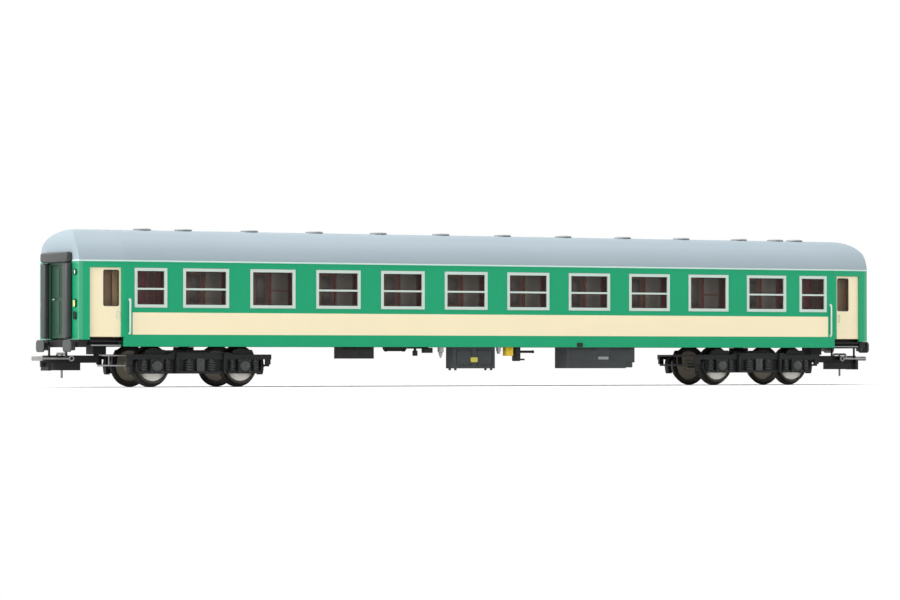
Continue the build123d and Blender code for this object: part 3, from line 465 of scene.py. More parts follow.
def block(first, second, axis, bevel=0.1, corner=0.15, steps=3):
    # block between two corners, rounded along the axis by the corner and over its end faces by the bevel
    first, second = np.array(first, float), np.array(second, float)
    centre, half = (first + second) / 2, abs(second - first) / 2
    over = min(bevel, half[axis] * 0.9) * np.array((0, 0.3, 1))
    rise, draw = half[axis] - over, over[::-1]
    levels = np.stack((np.concatenate((-rise, rise[::-1])), np.concatenate((draw, draw[::-1]))), 1)
    wide, high = half[(axis + 1) % 3], half[(axis + 2) % 3]
    return slab(centre, axis, wide, high, min(corner, wide, high), levels, steps)


def pad(axis, back, front, outline, bevel=0.1, corner=0.15, steps=3, shift=0, hand=1):
    # block between two planes across an axis (0 or 1), over an outline of left, right, bottom and top;
    # an edge in the tables below is its bevel and corner
    left, right, bottom, top = outline
    first, second = [shift + hand * left, bottom], [shift + hand * right, top]
    first.insert(axis, back)
    second.insert(axis, front)
    return block(first, second, axis, bevel, corner, steps)


def upright(x, y, halfLength, halfWidth, rows, bevel=0.1, corner=0.15, steps=3):
    # block about an upright line, between two heights
    half = np.array((halfLength, halfWidth))
    return block((*(-half + (x, y)), rows[0]), (*(half + (x, y)), rows[1]), 2, bevel, corner, steps)


def bolt(place, axis, size, way=1, corners=8):
    # round bolt head of a height and radius: short drum closed by a low cone
    section = np.array(((0, 1), (0.7, 1), (1, 0.7), (1, 0))) * size
    return lathe(place, axis, section[:, ::-1], corners, way)


def fourBolts(place, axis, spread, size, way):
    # bolt heads at the corners of a square about a place
    places = [np.insert(np.array(corner) * spread, axis, 0) + place for corner in quarters]
    return [bolt(corner, axis, size, way) for corner in places]


def added(name, data):
    # new object in the scene
    made = bpy.data.objects.new(name, data)
    scene.collection.objects.link(made)
    return made


def piece(name, grids, finish, replaced=(), crease=40, body="carbody"):
    # each grid is a ring of points carried row by row: rows that come back to the start are a loop,
    # a row drawn to one point is a pole, and any other end gets a cap
    points, faces, base = [], [], 0
    for grid in grids:
        looped = np.abs(grid[0] - grid[-1]).max() < 1e-6
        rows = grid[:-1] if looped else grid
        index = np.arange(rows.shape[0] * rows.shape[1]).reshape(rows.shape[:2]) + base
        here = index if looped else index[:-1]
        there = np.roll(index, -1, axis=0) if looped else index[1:]
        quads = np.stack((here, np.roll(here, -1, 1), np.roll(there, -1, 1), there), -1)
        faces += quads.reshape(-1, 4).tolist()
        if not looped:
            caps = ((rows[0], index[0][::-1]), (rows[-1], index[-1]))
            faces += [ring.tolist() for row, ring in caps if np.ptp(row, axis=0).max() > 1e-6]
        points.append(rows.reshape(-1, 3))
        base += index.size
    mesh = bpy.data.meshes.new(name)
    mesh.from_pydata(np.vstack(points) * mm, [], faces)
    skin = bmesh.new()
    skin.from_mesh(mesh)
    bmesh.ops.remove_doubles(skin, verts=skin.verts, dist=1e-8)
    bmesh.ops.recalc_face_normals(skin, faces=skin.faces)
    skin.to_mesh(mesh)
    skin.free()
    mesh.shade_smooth()
    mesh.set_sharp_from_angle(angle=math.radians(crease))
    mesh.materials.append(finishes[finish])
    made = added(name, mesh)
    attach(made, body)
    if replaced:
        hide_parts(*replaced)
    return made


# Roof ventilators: section by share of the radius and share of the height

vent = Shape(
    section=((0, 0), (0.96, 0), (0.96, 0.12), (1, 0.2), (1, 0.55), (0.92593, 0.8), (0.6, 0.94), (0, 1)),
    corners=36,
)
vents = []
for low, high, middle, *_ in solids("roof_vents"):
    section = np.array(vent.section) * ((high[0] - low[0]) / 2, high[2] - low[2])
    vents.append(lathe((*middle[:2], low[2]), 2, section, vent.corners))
piece("roofVents", vents, "vent", ("roof_vents",), 50)

# Handrails: a rod bent in to both feet, with a round foot at the wall

rail = Shape(radius=0.28, bend=0.5, foot=((0.42, 0), (0.42, 0.2)))
rails = []
for low, high, (x, *_), side, wall, out in solids("door_handrails"):
    rows = low[2] + rail.radius, high[2] - rail.radius
    rails.append(rod(staple(x, wall, out - side * rail.radius, rows, rail.bend), rail.radius, (1, 0, 0), 12))
    rails += [lathe((x, wall, row), 1, rail.foot, 16, side) for row in rows]
piece("doorHandrails", rails, "silver", ("door_handrails",))

# Gangway rolls

roll = Shape(tube=3.1, gap=0.12, corner=0.8, endRound=0.6, steps=6)


def rollGrid(middle, axis, half, depth):
    # straight rubber roll: rounded section stacked along an axis, drawn in by a quarter circle at both ends
    turn = np.linspace(0, np.pi / 2, roll.steps)
    rise, draw = half - roll.endRound * (1 - np.sin(turn)), roll.endRound * (1 - np.cos(turn))
    levels = np.concatenate((np.stack((-rise, draw), 1)[::-1], np.stack((rise, draw), 1)))
    sizes = (depth, roll.tube / 2) if axis == 2 else (roll.tube / 2, depth)
    return slab(middle, axis, *sizes, roll.corner, levels, roll.steps)


for end in ends:
    low, high, (x, y, _) = nodeBox(f"gangway_{end}")
    half, depth, under = roll.tube / 2, (high[0] - low[0]) / 2, high[2] - roll.tube - roll.gap
    rolls = [rollGrid((x, y, high[2] - half), 1, (high[1] - low[1]) / 2, depth)]
    for across in (low[1] + half, high[1] - half):
        rolls.append(rollGrid((x, across, (low[2] + under) / 2), 2, (under - low[2]) / 2, depth))
    piece(f"gangwayRolls.{end}", rolls, "rubber", (f"gangway_{end}",), 60)

# End doors: pressed panels, the bars of the portal and a handle

endDoor = Shape(
    panels=((-5.7, -0.5), (0.5, 5.7)), rows=((15.6, 25.4), (26.4, 35.2)), rise=0.18, edge=(0.12, 0.5),
    barFaces=(138.9, 139.4),
    bars=((-7.7, -6.2, 14.15, 36.9), (6.2, 7.7, 14.15, 36.9), (-7.0, 7.0, 36.0, 37.0)),
    handle=(4.9, 25.9), reach=0.35, length=1.6, radius=0.14, bend=0.25, rose=(0.25, 0.3),
)
for end, out in ends.items():
    face = out * max(abs(corner[0]) for corner in nodeBox(f"end_door_{end}"))
    front = face + out * endDoor.rise
    outlines = [(*panel, *row) for panel in endDoor.panels for row in endDoor.rows]
    panels = [pad(0, face, front, outline, *endDoor.edge) for outline in outlines]
    panels += [pad(0, *(out * value for value in endDoor.barFaces), bar) for bar in endDoor.bars]
    piece(f"endDoorPanels.{end}", panels, "endDoor")
    (y, z), reach = endDoor.handle, front + out * endDoor.reach
    lever = bentPath([(face, y, z), (reach, y, z), (reach, y - endDoor.length, z)], endDoor.bend)
    handle = [rod(lever, endDoor.radius, (0, 0, 1)), bolt((face, y, z), 0, endDoor.rose, out, 12)]
    piece(f"endDoorHandle.{end}", handle, "silver")

# Lamps and sockets of the end walls

lens = Shape(bezel=0.18, lip=0.06, lipFrom=0.8, dome=0.22, domeFrom=0.5, steps=6, corners=28)
socket = Shape(lid=0.12, margin=0.1, hinge=0.16, hingeShare=0.4, corner=0.3, yellowFrom=23)
bezels, lenses = [], []
lean = np.linspace(0, np.pi / 2, lens.steps)
for low, high, middle, out, wall, front in solids("end_lamps", 0):
    origin, depth, radius = (wall, *middle[1:]), front - wall, (high[1] - low[1]) / 2
    ring, lip, edge = radius - lens.bezel, radius - lens.lip, depth * lens.lipFrom
    section = [(ring, 0), (radius, 0), (radius, edge), (lip, depth), (ring, depth), (ring, 0)]
    bezels.append(lathe(origin, 0, section, lens.corners))
    crown = depth * lens.domeFrom + out * lens.dome * np.sin(lean)
    dome = np.vstack(((0, 0), (ring, 0), np.stack((ring * np.cos(lean), crown), 1)))
    lenses.append(lathe(origin, 0, dome, lens.corners))
piece("lampBezels", bezels, "black")
piece("lampLenses", lenses, "lens", ("end_lamps",), 50)
boxes, lids = [], []
for low, high, (_, y, _), out, wall, front in solids("end_sockets", 0):
    cover, outline = front - out * socket.lid, np.array((low[1], high[1], low[2], high[2]))
    boxes.append(pad(0, wall, cover, outline, 0.08, socket.corner, 4))
    lid = pad(0, cover, front, outline + socket.margin * np.array((1, -1, 1, -1)), 0.06, socket.corner, 4)
    (lids if low[2] > socket.yellowFrom else boxes).append(lid)
    half = (high[1] - low[1]) * socket.hingeShare
    boxes.append(pin((cover, y - half, high[2]), (cover, y + half, high[2]), socket.hinge))
piece("cableSockets", boxes, "black", ("end_sockets",))
piece("socketLids", lids, "socketYellow")
print("body ends dressed")

# Window gaskets: a rubber cord round the inner edge of each frame, lying on the pane

gasket = Shape(radius=0.14, corner=0.5, frame=0.92, proud=0.05)
for sideName in ("corridor", "compartment"):
    cords = []
    for low, high, middle, side, pane, _ in solids(f"window_frames_{sideName}"):
        half = (high - low) / 2 - gasket.frame
        ring = roundedRing(half[0], half[2], gasket.corner) + middle[[0, 2]]
        path = np.insert(ring, 1, pane + side * gasket.proud, axis=1)
        cords.append(rod(path, gasket.radius, (0, 1, 0), 6, True))
    piece(f"windowGaskets.{sideName}", cords, "gasket")

# Entrance doors: gasket round the pane and a handle, on faces that turn in towards the ends

door = Shape(
    gasket=0.16, inset=0.02, corner=0.4,
    handle=127.6,  # from the middle of the coach
    rows=(20.4, 22.4), reach=0.42, radius=0.13, bend=0.2, foot=(0.14, 0.24),
)
doorPoints = meshPoints(nodes["entrance_doors"].data)
gaskets, handles = [], []
for low, high, middle, side, *_ in solids("door_panes"):
    out = np.sign(middle[0])
    own = np.abs(doorPoints[(doorPoints[:, 0] * out > 0) & (doorPoints[:, 1] * side > 0)])
    start, stop = own[:, 0].min(), own[:, 0].max()
    inner, outer = (own[np.abs(own[:, 0] - edge) < weld, 1].max() for edge in (start, stop))
    slope, half = (outer - inner) / (stop - start), (high - low) / 2 - door.inset
    ring = roundedRing(half[0], half[2], door.corner) + middle[[0, 2]]
    path = np.insert(ring, 1, side * (inner + (np.abs(ring[:, 0]) - start) * slope), axis=1)
    gaskets.append(rod(path, door.gasket, (-out * slope, side, 0), 6, True))
    x, skin = out * door.handle, side * (inner + (door.handle - start) * slope)
    grip = staple(x, skin, skin + side * door.reach, door.rows, door.bend)
    handles.append(rod(grip, door.radius, (1, 0, 0)))
    handles += [bolt((x, skin, row), 1, door.foot, side, 10) for row in door.rows]
piece("doorGaskets", gaskets, "gasket")
piece("doorHandles", handles, "silver")

# Step nosings, by distance from the step's front and foot

nosing = Shape(faces=(-0.5, 0.1), rows=(-0.02, 0.3), margin=0.1)
nosings = []
for low, high, _, side, _, front in solids("entrance_steps"):
    back, edge = (front + side * value for value in nosing.faces)
    outline = (low[0] + nosing.margin, high[0] - nosing.margin, *(low[2] + nosing.rows))
    nosings.append(pad(1, back, edge, outline, 0.08, 0.1))
piece("stepNosings", nosings, "plateGrey")

# Filler cap on the skirt

cap = Shape(
    outline=(28.45, 30.55, 12.1, 13.4), rise=0.25, edge=(0.1, 0.25), knob=(29.5, 12.75), knobSize=(0.15, 0.35)
)
skirt = nodeBox("side_wall_corridor")[0][1]
(x, z), face = cap.knob, skirt - cap.rise
knob = bolt((x, face, z), 1, cap.knobSize, -1, 12)
piece("fillerCap", [pad(1, skirt, face, cap.outline, *cap.edge), knob], "black")
print("sides dressed")

# Corridor wall: doors, sidelights and posts seen through the windows

corridor = Shape(
    door=(-2.6, 2.6, 16.6, 34.4),  # these four from a compartment's middle
    doorLight=(-1.5, 1.5, 25.0, 33.4),
    sidelights=((3.6, 8.9, 29.2, 34.2), (3.6, 8.9, 17.6, 28.6)),
    post=(2.75, 3.45, 16.5, 35.3),
    pillar=(-1.7, 1.7, 16.5, 35.3),  # from a compartment wall
    endPanels=((112.2, 113.6, 16.5, 35.3), (114.6, 118.0, 16.5, 35.3), (119.0, 122.0, 16.5, 35.3)),
    washroom=(110.2, 122.7, 16.4, 35.6), wall=0.8, behind=0.05, pitch=22, lastWall=110,
    rises=Shape(door=0.15, doorLight=0.22, sidelight=0.1, post=0.35, pillar=0.25),
)
benches = solids("seats")
walls = {round(low[0] / corridor.pitch) * corridor.pitch for low, *_ in benches}
walls = sorted(walls | {corridor.lastWall})
wallFace = min(low[1] for low, *_ in benches) - corridor.wall


def wallPad(outline, rise, middle=0, hand=1):
    # flat moulding on the corridor wall, rounded along its edges
    back, front = wallFace + corridor.behind, wallFace - corridor.rises[rise]
    return pad(1, back, front, outline, 0.08, 0.12, 2, middle, hand)


leaves, doorLights, lights, posts = [], [], [], []
for middle in (np.array(walls[:-1]) + walls[1:]) / 2:
    leaves.append(wallPad(corridor.door, "door", middle))
    doorLights.append(wallPad(corridor.doorLight, "doorLight", middle))
    for hand in sides:
        lights += [wallPad(outline, "sidelight", middle, hand) for outline in corridor.sidelights]
        posts.append(wallPad(corridor.post, "post", middle, hand))
posts += [wallPad(corridor.pillar, "pillar", wall) for wall in walls]
posts += [wallPad(outline, "pillar", 0, hand) for outline in corridor.endPanels for hand in sides]
back = wallFace + corridor.wall
washroom = [pad(1, wallFace, back, corridor.washroom, 0.1, 0.1, hand=hand) for hand in sides]
piece("washroomWalls", washroom, "veneer")
piece("corridorDoors", leaves, "doorVeneer")
piece("corridorDoorLights", doorLights, "smoke")
piece("corridorLights", lights, "sidelight")
piece("corridorPosts", posts, "post")

# Vestibules: panels on their walls and on the backs of the end doors, and screens behind the entrance doors

lining = Shape(
    wallPanels=((-13.2, -7.4), (-6.6, -1.6), (-1.0, 5.2), (5.9, 13.2)), wallRows=(17.0, 35.2),
    doorPanels=((-6.6, -2.6), (-2.0, 6.6)), doorRows=(15.6, 35.4), rise=0.2,
    narrow=(125.0, 127.3, 14.35, 35.6), wide=(127.7, 136.4, 14.35, 35.6), screenFaces=(11.2, 11.7),
)
linings, screens = [], []
for end, out in ends.items():
    wall = out * nodeBox("interior")[1][0]
    back = out * min(abs(corner[0]) for corner in nodeBox(f"end_door_{end}"))
    for name, base, rise in (("wall", wall, out * lining.rise), ("door", back, -out * lining.rise)):
        for panel in lining[f"{name}Panels"]:
            linings.append(pad(0, base, base + rise, (*panel, *lining[f"{name}Rows"]), 0.1, 0.3))
    for side in sides:
        near, far = (side * value for value in lining.screenFaces)
        linings.append(pad(1, near, far, lining.narrow, hand=out))
        screens.append(pad(1, near, far, lining.wide, hand=out))
piece("vestibuleLining", linings, "lining")
piece("vestibuleScreens", screens, "screen")

# Seats

seat = Shape(
    section=(  # from the wall, above the floor, swell along both
        (0.05, 0.0, 0, 0), (5.3, 0.0, 0, 0), (5.5, 0.3, 0, 0), (5.45, 3.5, 0.1, 0), (5.2, 4.0, 0.1, 0.1),
        (4.7, 4.15, 0, 0.25), (3.2, 4.1, 0, 0.3), (2.1, 4.0, 0, 0.25), (1.65, 4.3, 0.1, 0), (1.4, 5.4, 0.2, 0),
        (1.35, 7.2, 0.2, 0), (1.2, 8.8, 0.1, 0), (1.35, 9.3, 0.25, 0), (1.4, 10.8, 0.25, 0),
        (1.1, 11.6, 0.1, 0.1), (0.7, 11.8, 0, 0.15), (0.05, 11.8, 0, 0.1),
    ),
    places=4, fullness=0.6, steps=33,
)


def seatGrids():
    # bench section carried across the compartment, swelling once for each place
    grids = []
    out, up, swellOut, swellUp = np.array(seat.section).T
    part = np.linspace(0, 1, seat.steps)
    swell = np.abs(np.sin(np.pi * seat.places * part))[:, None] ** seat.fullness
    for low, high, *_ in benches:
        facing = 1 if min(abs(low[0] - wall) for wall in walls) < 1 else -1
        back = low[0] if facing > 0 else high[0]
        points = np.zeros((len(part), len(out), 3))
        points[..., 0] = back + facing * (out + swell * swellOut)
        points[..., 1] = (low[1] + part * (high[1] - low[1]))[:, None]
        points[..., 2] = low[2] + up + swell * swellUp
        grids.append(points)
    return grids


piece("seatBenches", seatGrids(), "cloth", ("seats",), 50)
print("interior dressed")

# Buffers

buffer = Shape(
    plate=1.3, thickness=0.25, edge=(0.08, 0.3), spread=1.02, bolt=(0.16, 0.18),
    housing=((1.25, 0.2), (1.25, 0.75), (1.12, 0.85), (1.12, 1.0), (0.85, 1.05), (0.85, 1.75)),
    head=((-0.7, 0.35), (-0.58, 0.08), (-0.45, 0), (-0.18, 0), (-0.072, 0.12), (-0.0216, 0.5), (0, 1.2)),
    corner=1.1,
)
buffers = []
for low, high, (_, y, z), out, root, face in solids("buffers", 0):
    front, plate, (_, wide, tall) = root + out * buffer.thickness, buffer.plate, (high - low) / 2
    buffers.append(pad(0, root, front, (y - plate, y + plate, z - plate, z + plate), *buffer.edge))
    buffers.append(lathe((root, y, z), 0, buffer.housing, 28, out))
    levels = np.array(buffer.head) * (out, 1)
    buffers.append(slab((face, y, z), 0, wide, tall, buffer.corner, levels, 6))
    buffers += fourBolts((front, y, z), 0, buffer.spread, buffer.bolt, out)
piece("bufferPairs", buffers, "buffer", ("buffers",), 45)

# Brake hoses, rigid mouldings

hose = Shape(
    radius=0.34, bend=0.42,
    inset=0.45,  # of the hose's middle from its box
    foot=0.8,
    nut=((0.44, 0), (0.44, 0.22), (0.374, 0.26)),
    head=((0, 0), (0.32, 0.02), (0.44, 0.14), (0.44, 0.6), (0.36, 0.72), (0.36, 0.95), (0.3, 1.0)),
    claw=(-0.22, 0.22, 0.15, 0.55), clawReach=0.45,
)
hoses = []
for low, high, (_, y, _), out, root, reach in solids("brake_hoses", 0):
    run, top, foot = reach - out * hose.inset, high[2] - hose.inset, low[2]
    path = bentPath([(root, y, top), (run, y, top), (run, y, foot + hose.foot)], hose.bend)
    hoses.append(rod(path, hose.radius, (0, 1, 0), 12))
    hoses.append(lathe((run, y, foot), 2, hose.head, 16))
    hoses.append(lathe((root, y, top), 0, hose.nut, 6, out))
    claw = np.array(hose.claw) + (y, y, foot, foot)
    hoses.append(pad(0, run, run + out * hose.clawReach, claw, 0.06, 0.1))
piece("brakeHoses", hoses, "black", ("brake_hoses",))

# Boxes under the floor: lids, latches, feet and blank plates on their common front

chest = Shape(
    batteryLids=((-13.35, -8.3, 6.55, 10.9), (-6.1, -1.05, 6.55, 10.9)),
    batteryPlate=(-8.5, -6.1, 7.35, 8.86),
    hinge=(0.1, 11.15), hingeRadius=0.22,  # behind the front, up
    latch=(0.12, 6.9), latchSize=(0.3, 0.3),
    feet=((-13.5, -13.9), (-13.5, -10.3), (-0.9, -13.9), (-0.9, -10.3)), footTop=5.47,
    foot=((0.4, 0), (0.4, 0.5), (0.3, 0.6)),
    converterDoors=((27.0, 36.4, 7.6, 11.7), (41.6, 49.4, 7.6, 11.7)),
    converterPlate=(37.15, 40.87, 8.2, 9.12),
    converterFoot=((47.2, 0.1, 5.7), (50.0, 6.6, 7.4)),  # along, behind the front, up
    locks=(27.9, 35.5, 42.5, 48.5), lockRow=9.4, lockRise=0.06, lockSize=(0.16, 0.26),
    equipmentDoors=((-52.5, -47.8, 8.95, 11.9), (-47.3, -42.6, 8.95, 11.9)),
)
front = nodeBox("battery_box")[0][1]


def frontPad(outline, behind=0.05, rise=0.08, bevel=0.05):
    # flat moulding on the boxes' front, from behind its plane to a rise before it
    return pad(1, front + behind, front - rise, outline, bevel, 0.2)


pads = [frontPad(outline, 0.3, -0.1, 0.08) for outline in chest.batteryLids]
pads += [frontPad(outline) for outline in chest.converterDoors]
piece("equipmentDoors", [frontPad(outline) for outline in chest.equipmentDoors], "black")
pads.append(block(*(np.array(chest.converterFoot) + (0, front, 0)), 2, 0.2, 0.5, 5))
(hingeBehind, hingeRow), (latchBehind, latchRow) = chest.hinge, chest.latch
for left, right, *_ in chest.batteryLids:
    y = front + hingeBehind
    pads.append(pin((left, y, hingeRow), (right, y, hingeRow), chest.hingeRadius))
    place = ((left + right) / 2, front + latchBehind, latchRow)
    pads.append(bolt(place, 1, chest.latchSize, -1, 12))
places = [(x, front - chest.lockRise, chest.lockRow) for x in chest.locks]
pads += [bolt(place, 1, chest.lockSize, -1, 12) for place in places]
pads += [lathe((*place, chest.footTop), 2, chest.foot, 12, -1) for place in chest.feet]
piece("boxLids", pads, "box")
piece("batteryPlate", [frontPad(chest.batteryPlate, 0.3, 0.14, 0.08)], "plateYellow")
piece("converterPlate", [frontPad(chest.converterPlate, 0.05, 0.12, 0.08)], "plateGrey")

# Brake valve, pipe and small fittings beside the battery box; turned sections hang down from the floor

fitting = Shape(
    valveNeck=0.72,  # share of the valve's height
    valveInset=(0.6, 0.5, 0), valveLap=0.1,
    valveCap=((0.85, 0), (0.85, 0.3), (0.6, 0.45), (0.3, 0.45), (0.3, 0.6), (0, 0.6)),
    capPlace=(0.3, 1.45),  # behind the valve's front, above its foot
    hanger=1.8, pipeDrop=2.8, pipeInset=(0.9, 0.5), pipeRadius=0.4,
    pipeEnd=((0, 0), (0.45, 0), (0.45, 0.7), (0.4, 0.8)),
    spigot=(-0.3, 1.6), spigotInset=0.5, spigotRadius=0.28,
    row=-13.6,
    hung=((-27.4, 1.3, 9.3), (-23.2, 3.4, 10.2)),  # place, width, bottom
    hungSize=(0.7, 1.6),  # half depth, height
    stem=(0.4, 0.3), stemFrom=1.5,
    regulator=(
        (0.5, 0), (0.5, 1.2), (0.95, 1.3), (0.95, 2.9), (0.6, 3.1), (0.6, 3.9), (0.32, 4.1), (0.32, 4.7),
        (0, 4.7),
    ),
    strainer=((0.4, 0), (0.4, 1.0), (0.75, 1.1), (0.75, 2.6), (0.55, 2.8), (0.55, 3.4), (0, 3.5)),
    places=Shape(regulator=-18.5, strainer=1.9),
)
floorUnder = nodeBox("battery_box")[1][2]
low, high, (x, *_) = nodeBox("brake_valve")
neck, inset = low[2] + fitting.valveNeck * (high[2] - low[2]), np.array(fitting.valveInset)
behind, above = fitting.capPlace
valve = [
    block(low, (*high[:2], neck), 2, 0.25, 0.4, 4),
    block((*(low + inset)[:2], neck - fitting.valveLap), high - inset, 2, 0.1, 0.3),
    lathe((x, low[1] + behind, low[2] + above), 1, fitting.valveCap, 20, -1),
]
piece("brakeValve", valve, "yellow", ("brake_valve",))
low, high, (_, y, _) = nodeBox("pipe_bracket")
hanger, z, (lap, inset) = low[0] + fitting.hanger, high[2] - fitting.pipeDrop, fitting.pipeInset
stub = [(hanger + end, *(low[1:] + fitting.spigotInset)) for end in fitting.spigot]
bracket = [
    block(low, (hanger, *high[1:]), 1, 0.15, 0.3, 4),
    pin((hanger - lap, y, z), (high[0] - inset, y, z), fitting.pipeRadius, 14, 4),
    lathe((high[0], y, z), 0, fitting.pipeEnd, 14, -1),
    pin(*stub, fitting.spigotRadius, 10),
]
piece("pipeBracket", bracket, "black", ("pipe_bracket",))
row, (depth, tall) = fitting.row, fitting.hungSize
hung = []
for x, width, bottom in fitting.hung:
    hung.append(upright(x, row, width / 2, depth, (bottom, bottom + tall), 0.15, 0.3, 4))
    hung.append(upright(x, row, *fitting.stem, (bottom + fitting.stemFrom, floorUnder), 0.05))
piece("hungFittings", hung, "black")
places = fitting.places.items()
turned = [lathe((x, row, floorUnder), 2, fitting[name], 18, -1) for name, x in places]
piece("airFittings", turned, "steel")

# Brake cylinder, air reservoir and the air pipe

tank = Shape(
    drum=(  # share of the radius, distance from the end
        (0, 0), (0.736, 0), (1, 0.4), (1, 0.9), (0.92, 1.0), (0.92, 6.3), (1, 6.4), (1, 7.0)
    ),
    pushRod=((0.9, 7.5), (0.5, 7.6), (0.5, 13.6), (0.6, 13.7), (0.6, 14.5), (0, 14.5)),
    drumFeet=(2.05, 5.65), drumFoot=(0.25, 1.2),
    dome=1.1, strap=(-0.1, 0.12), strapHalf=0.5,
    straps=(0.25, 0.75),  # shares of the reservoir's length
    lug=0.3, lugPlace=(0.8, 0.4),  # shares of the radius, across and up
    pipeRow=-4.6, pipeReach=68.0, pipeDrop=0.4, pipeRadius=0.35,
    clips=range(-66, 67, 22), clip=(0.5, 0.6), clipDrop=0.85,
)
low, high, (_, y, z) = nodeBox("brake_cylinder")
section = np.vstack((np.array(tank.drum) * ((high[1] - low[1]) / 2, 1), tank.pushRod))
cylinder = [lathe((low[0], y, z), 0, section, 28)]
cylinder += [upright(x, y, *tank.drumFoot, (z, high[2]), 0.05, 0.1) for x in low[0] + tank.drumFeet]
piece("brakeCylinder", cylinder, "black", ("brake_cylinder",))
low, high, (_, y, _) = nodeBox("air_reservoir")
radius, length = (high[1] - low[1]) / 2, high[0] - low[0]
z, lean = low[2] + radius, np.linspace(0, np.pi / 2, 7)
dome = np.stack((radius * np.sin(lean), tank.dome * (1 - np.cos(lean))), 1)
barrel = np.vstack((dome, dome[::-1] * (1, -1) + (0, length)))
reservoir = [lathe((low[0], y, z), 0, barrel, 32)]
half, (inner, outer) = tank.strapHalf, radius + np.array(tank.strap)
band = [(inner, -half), (outer, -half), (outer, half), (inner, half), (inner, -half)]
across, up = radius * np.array(tank.lugPlace)
for x in low[0] + length * np.array(tank.straps):
    reservoir.append(lathe((x, y, z), 0, band, 32))
    for side in sides:
        reservoir.append(upright(x, y + side * across, half, tank.lug, (z + up, high[2]), 0.05, 0.1))
piece("airReservoir", reservoir, "black", ("air_reservoir",))
y, z = tank.pipeRow, floorUnder - tank.pipeDrop
pipes = [pin((-tank.pipeReach, y, z), (tank.pipeReach, y, z), tank.pipeRadius, 12, 9)]
pipes += [upright(x, y, *tank.clip, (floorUnder - tank.clipDrop, floorUnder)) for x in tank.clips]
piece("airPipe", pipes, "black")
print("underfloor dressed")

# Wheels: closed sections of (radius, distance from the wheel's back), the back towards the middle of the track

wheel = Shape(
    tyre=(
        (4.55, 0.1), (4.65, 0), (6.12, 0), (6.3, 0.1), (6.3, 0.2), (5.98, 0.42), (5.52, 0.66), (5.34, 0.84),
        (5.3, 1.05), (5.3, 2.65), (5.2, 2.75), (4.82, 2.75), (4.7, 2.65), (4.55, 2.2), (4.55, 0.1),
    ),
    disc=(
        (0.76, 0), (1.5, 0), (1.7, 0.15), (1.8, 0.45), (4.3, 0.5), (4.6, 0.35), (4.6, 2.4), (4.45, 2.12),
        (3.9, 2.0), (2.2, 2.05), (1.75, 2.25), (1.6, 2.6), (1.5, 2.72), (0.76, 2.75), (0.76, 0),
    ),
    corners=56,
)
for end in ends:
    for row in ("outer", "inner"):
        node, body = f"wheels_{row}_{end}", f"wheelset_{row}_{end}"
        tyres, discs = [], []
        for *_, (x, _, z), side, back, _ in solids(node):
            tyres.append(lathe((x, back, z), 1, wheel.tyre, wheel.corners, side))
            discs.append(lathe((x, back, z), 1, wheel.disc, wheel.corners, side))
        piece(f"wheelTyres.{row}.{end}", tyres, "tyre", (), 30, body)
        mesh = piece(f"wheelDiscs.{row}.{end}", discs, "wheel", (node,), 30, body).data
        points = meshPoints(mesh)
        fromAxle = np.hypot(points[:, 0] - x, points[:, 2] - z)
        mesh.attributes.new("fromAxle", "FLOAT", "POINT").data.foreach_set("value", fromAxle)

# Coil springs of the bogies

spring = Shape(wire=0.24, pitch=0.72, stepsPerTurn=24, core=0.5)


def springGrids(name):
    # helix of round wire between its seats, flattened against the web behind it, round a plain core
    grids, wire = [], spring.wire
    for low, high, (x, *_), side, back, face in solids(name):
        outer, height = (high[0] - low[0]) / 2, high[2] - low[2]
        radius, y, climb = outer - wire, abs(face) - outer, height - 2 * wire
        turns = round(climb / spring.pitch)
        angle = np.linspace(0, 2 * np.pi * turns, turns * spring.stepsPerTurn + 1)
        across = np.maximum(y + radius * np.sin(angle), abs(back) + wire)
        rise = low[2] + wire + climb * angle / angle[-1]
        grids.append(rod(np.stack((x + radius * np.cos(angle), side * across, rise), 1), wire, (0, 0, 1)))
        core = radius * spring.core
        grids.append(lathe((x, side * y, low[2]), 2, [(core, 0), (core, height)], 16))
    return grids


for end in ends:
    node = f"bogie_springs_{end}"
    piece(f"coilSprings.{end}", springGrids(node), "spring", (node,), body=f"bogie_{end}")

# Bogie fittings: axlebox covers with bolts, dampers, a block at the bolster's end, rivets and beam strips

bogie = Shape(
    face=12.5, coverSpread=1.68, coverBolt=(0.2, 0.24),
    cover=(
        (1.62, 0), (1.62, 0.14), (1.45, 0.22), (1.43, 0.46), (1.2, 0.56), (0.5, 0.56), (0.42, 0.48), (0, 0.48)
    ),
    damperPlace=(7.75, 12.55), lugEdge=(0.06, 0.3), blockEdge=(0.15, 0.3), stripEdge=(0.05, 0.1),
    damper=((0.3, 4.2), (0.3, 6.4), (0.46, 6.5), (0.46, 9.2), (0.3, 9.35), (0.3, 9.8)),
    lugs=((4.0, 4.5), (9.45, 9.95)), lugRow=12.435, lug=(0.45, 0.535),
    rivets=(16.9, 18.3, 19.7, 21.1, 22.5), rivetPlace=(12.1, 9.0), rivet=(0.14, 0.2),
    block=(-1.25, 1.25, 4.7, 8.6), blockFaces=(11.1, 12.3), blockRows=(5.6, 7.6), blockBolt=(0.2, 0.35),
    beamFace=23.3,
    strips={(-10.4, 10.4, 9.2, 9.6): 23.55, (-10.4, 10.4, 6.2, 6.6): 23.55, (1.6, 2.4, 6.6, 9.3): 23.5},
)
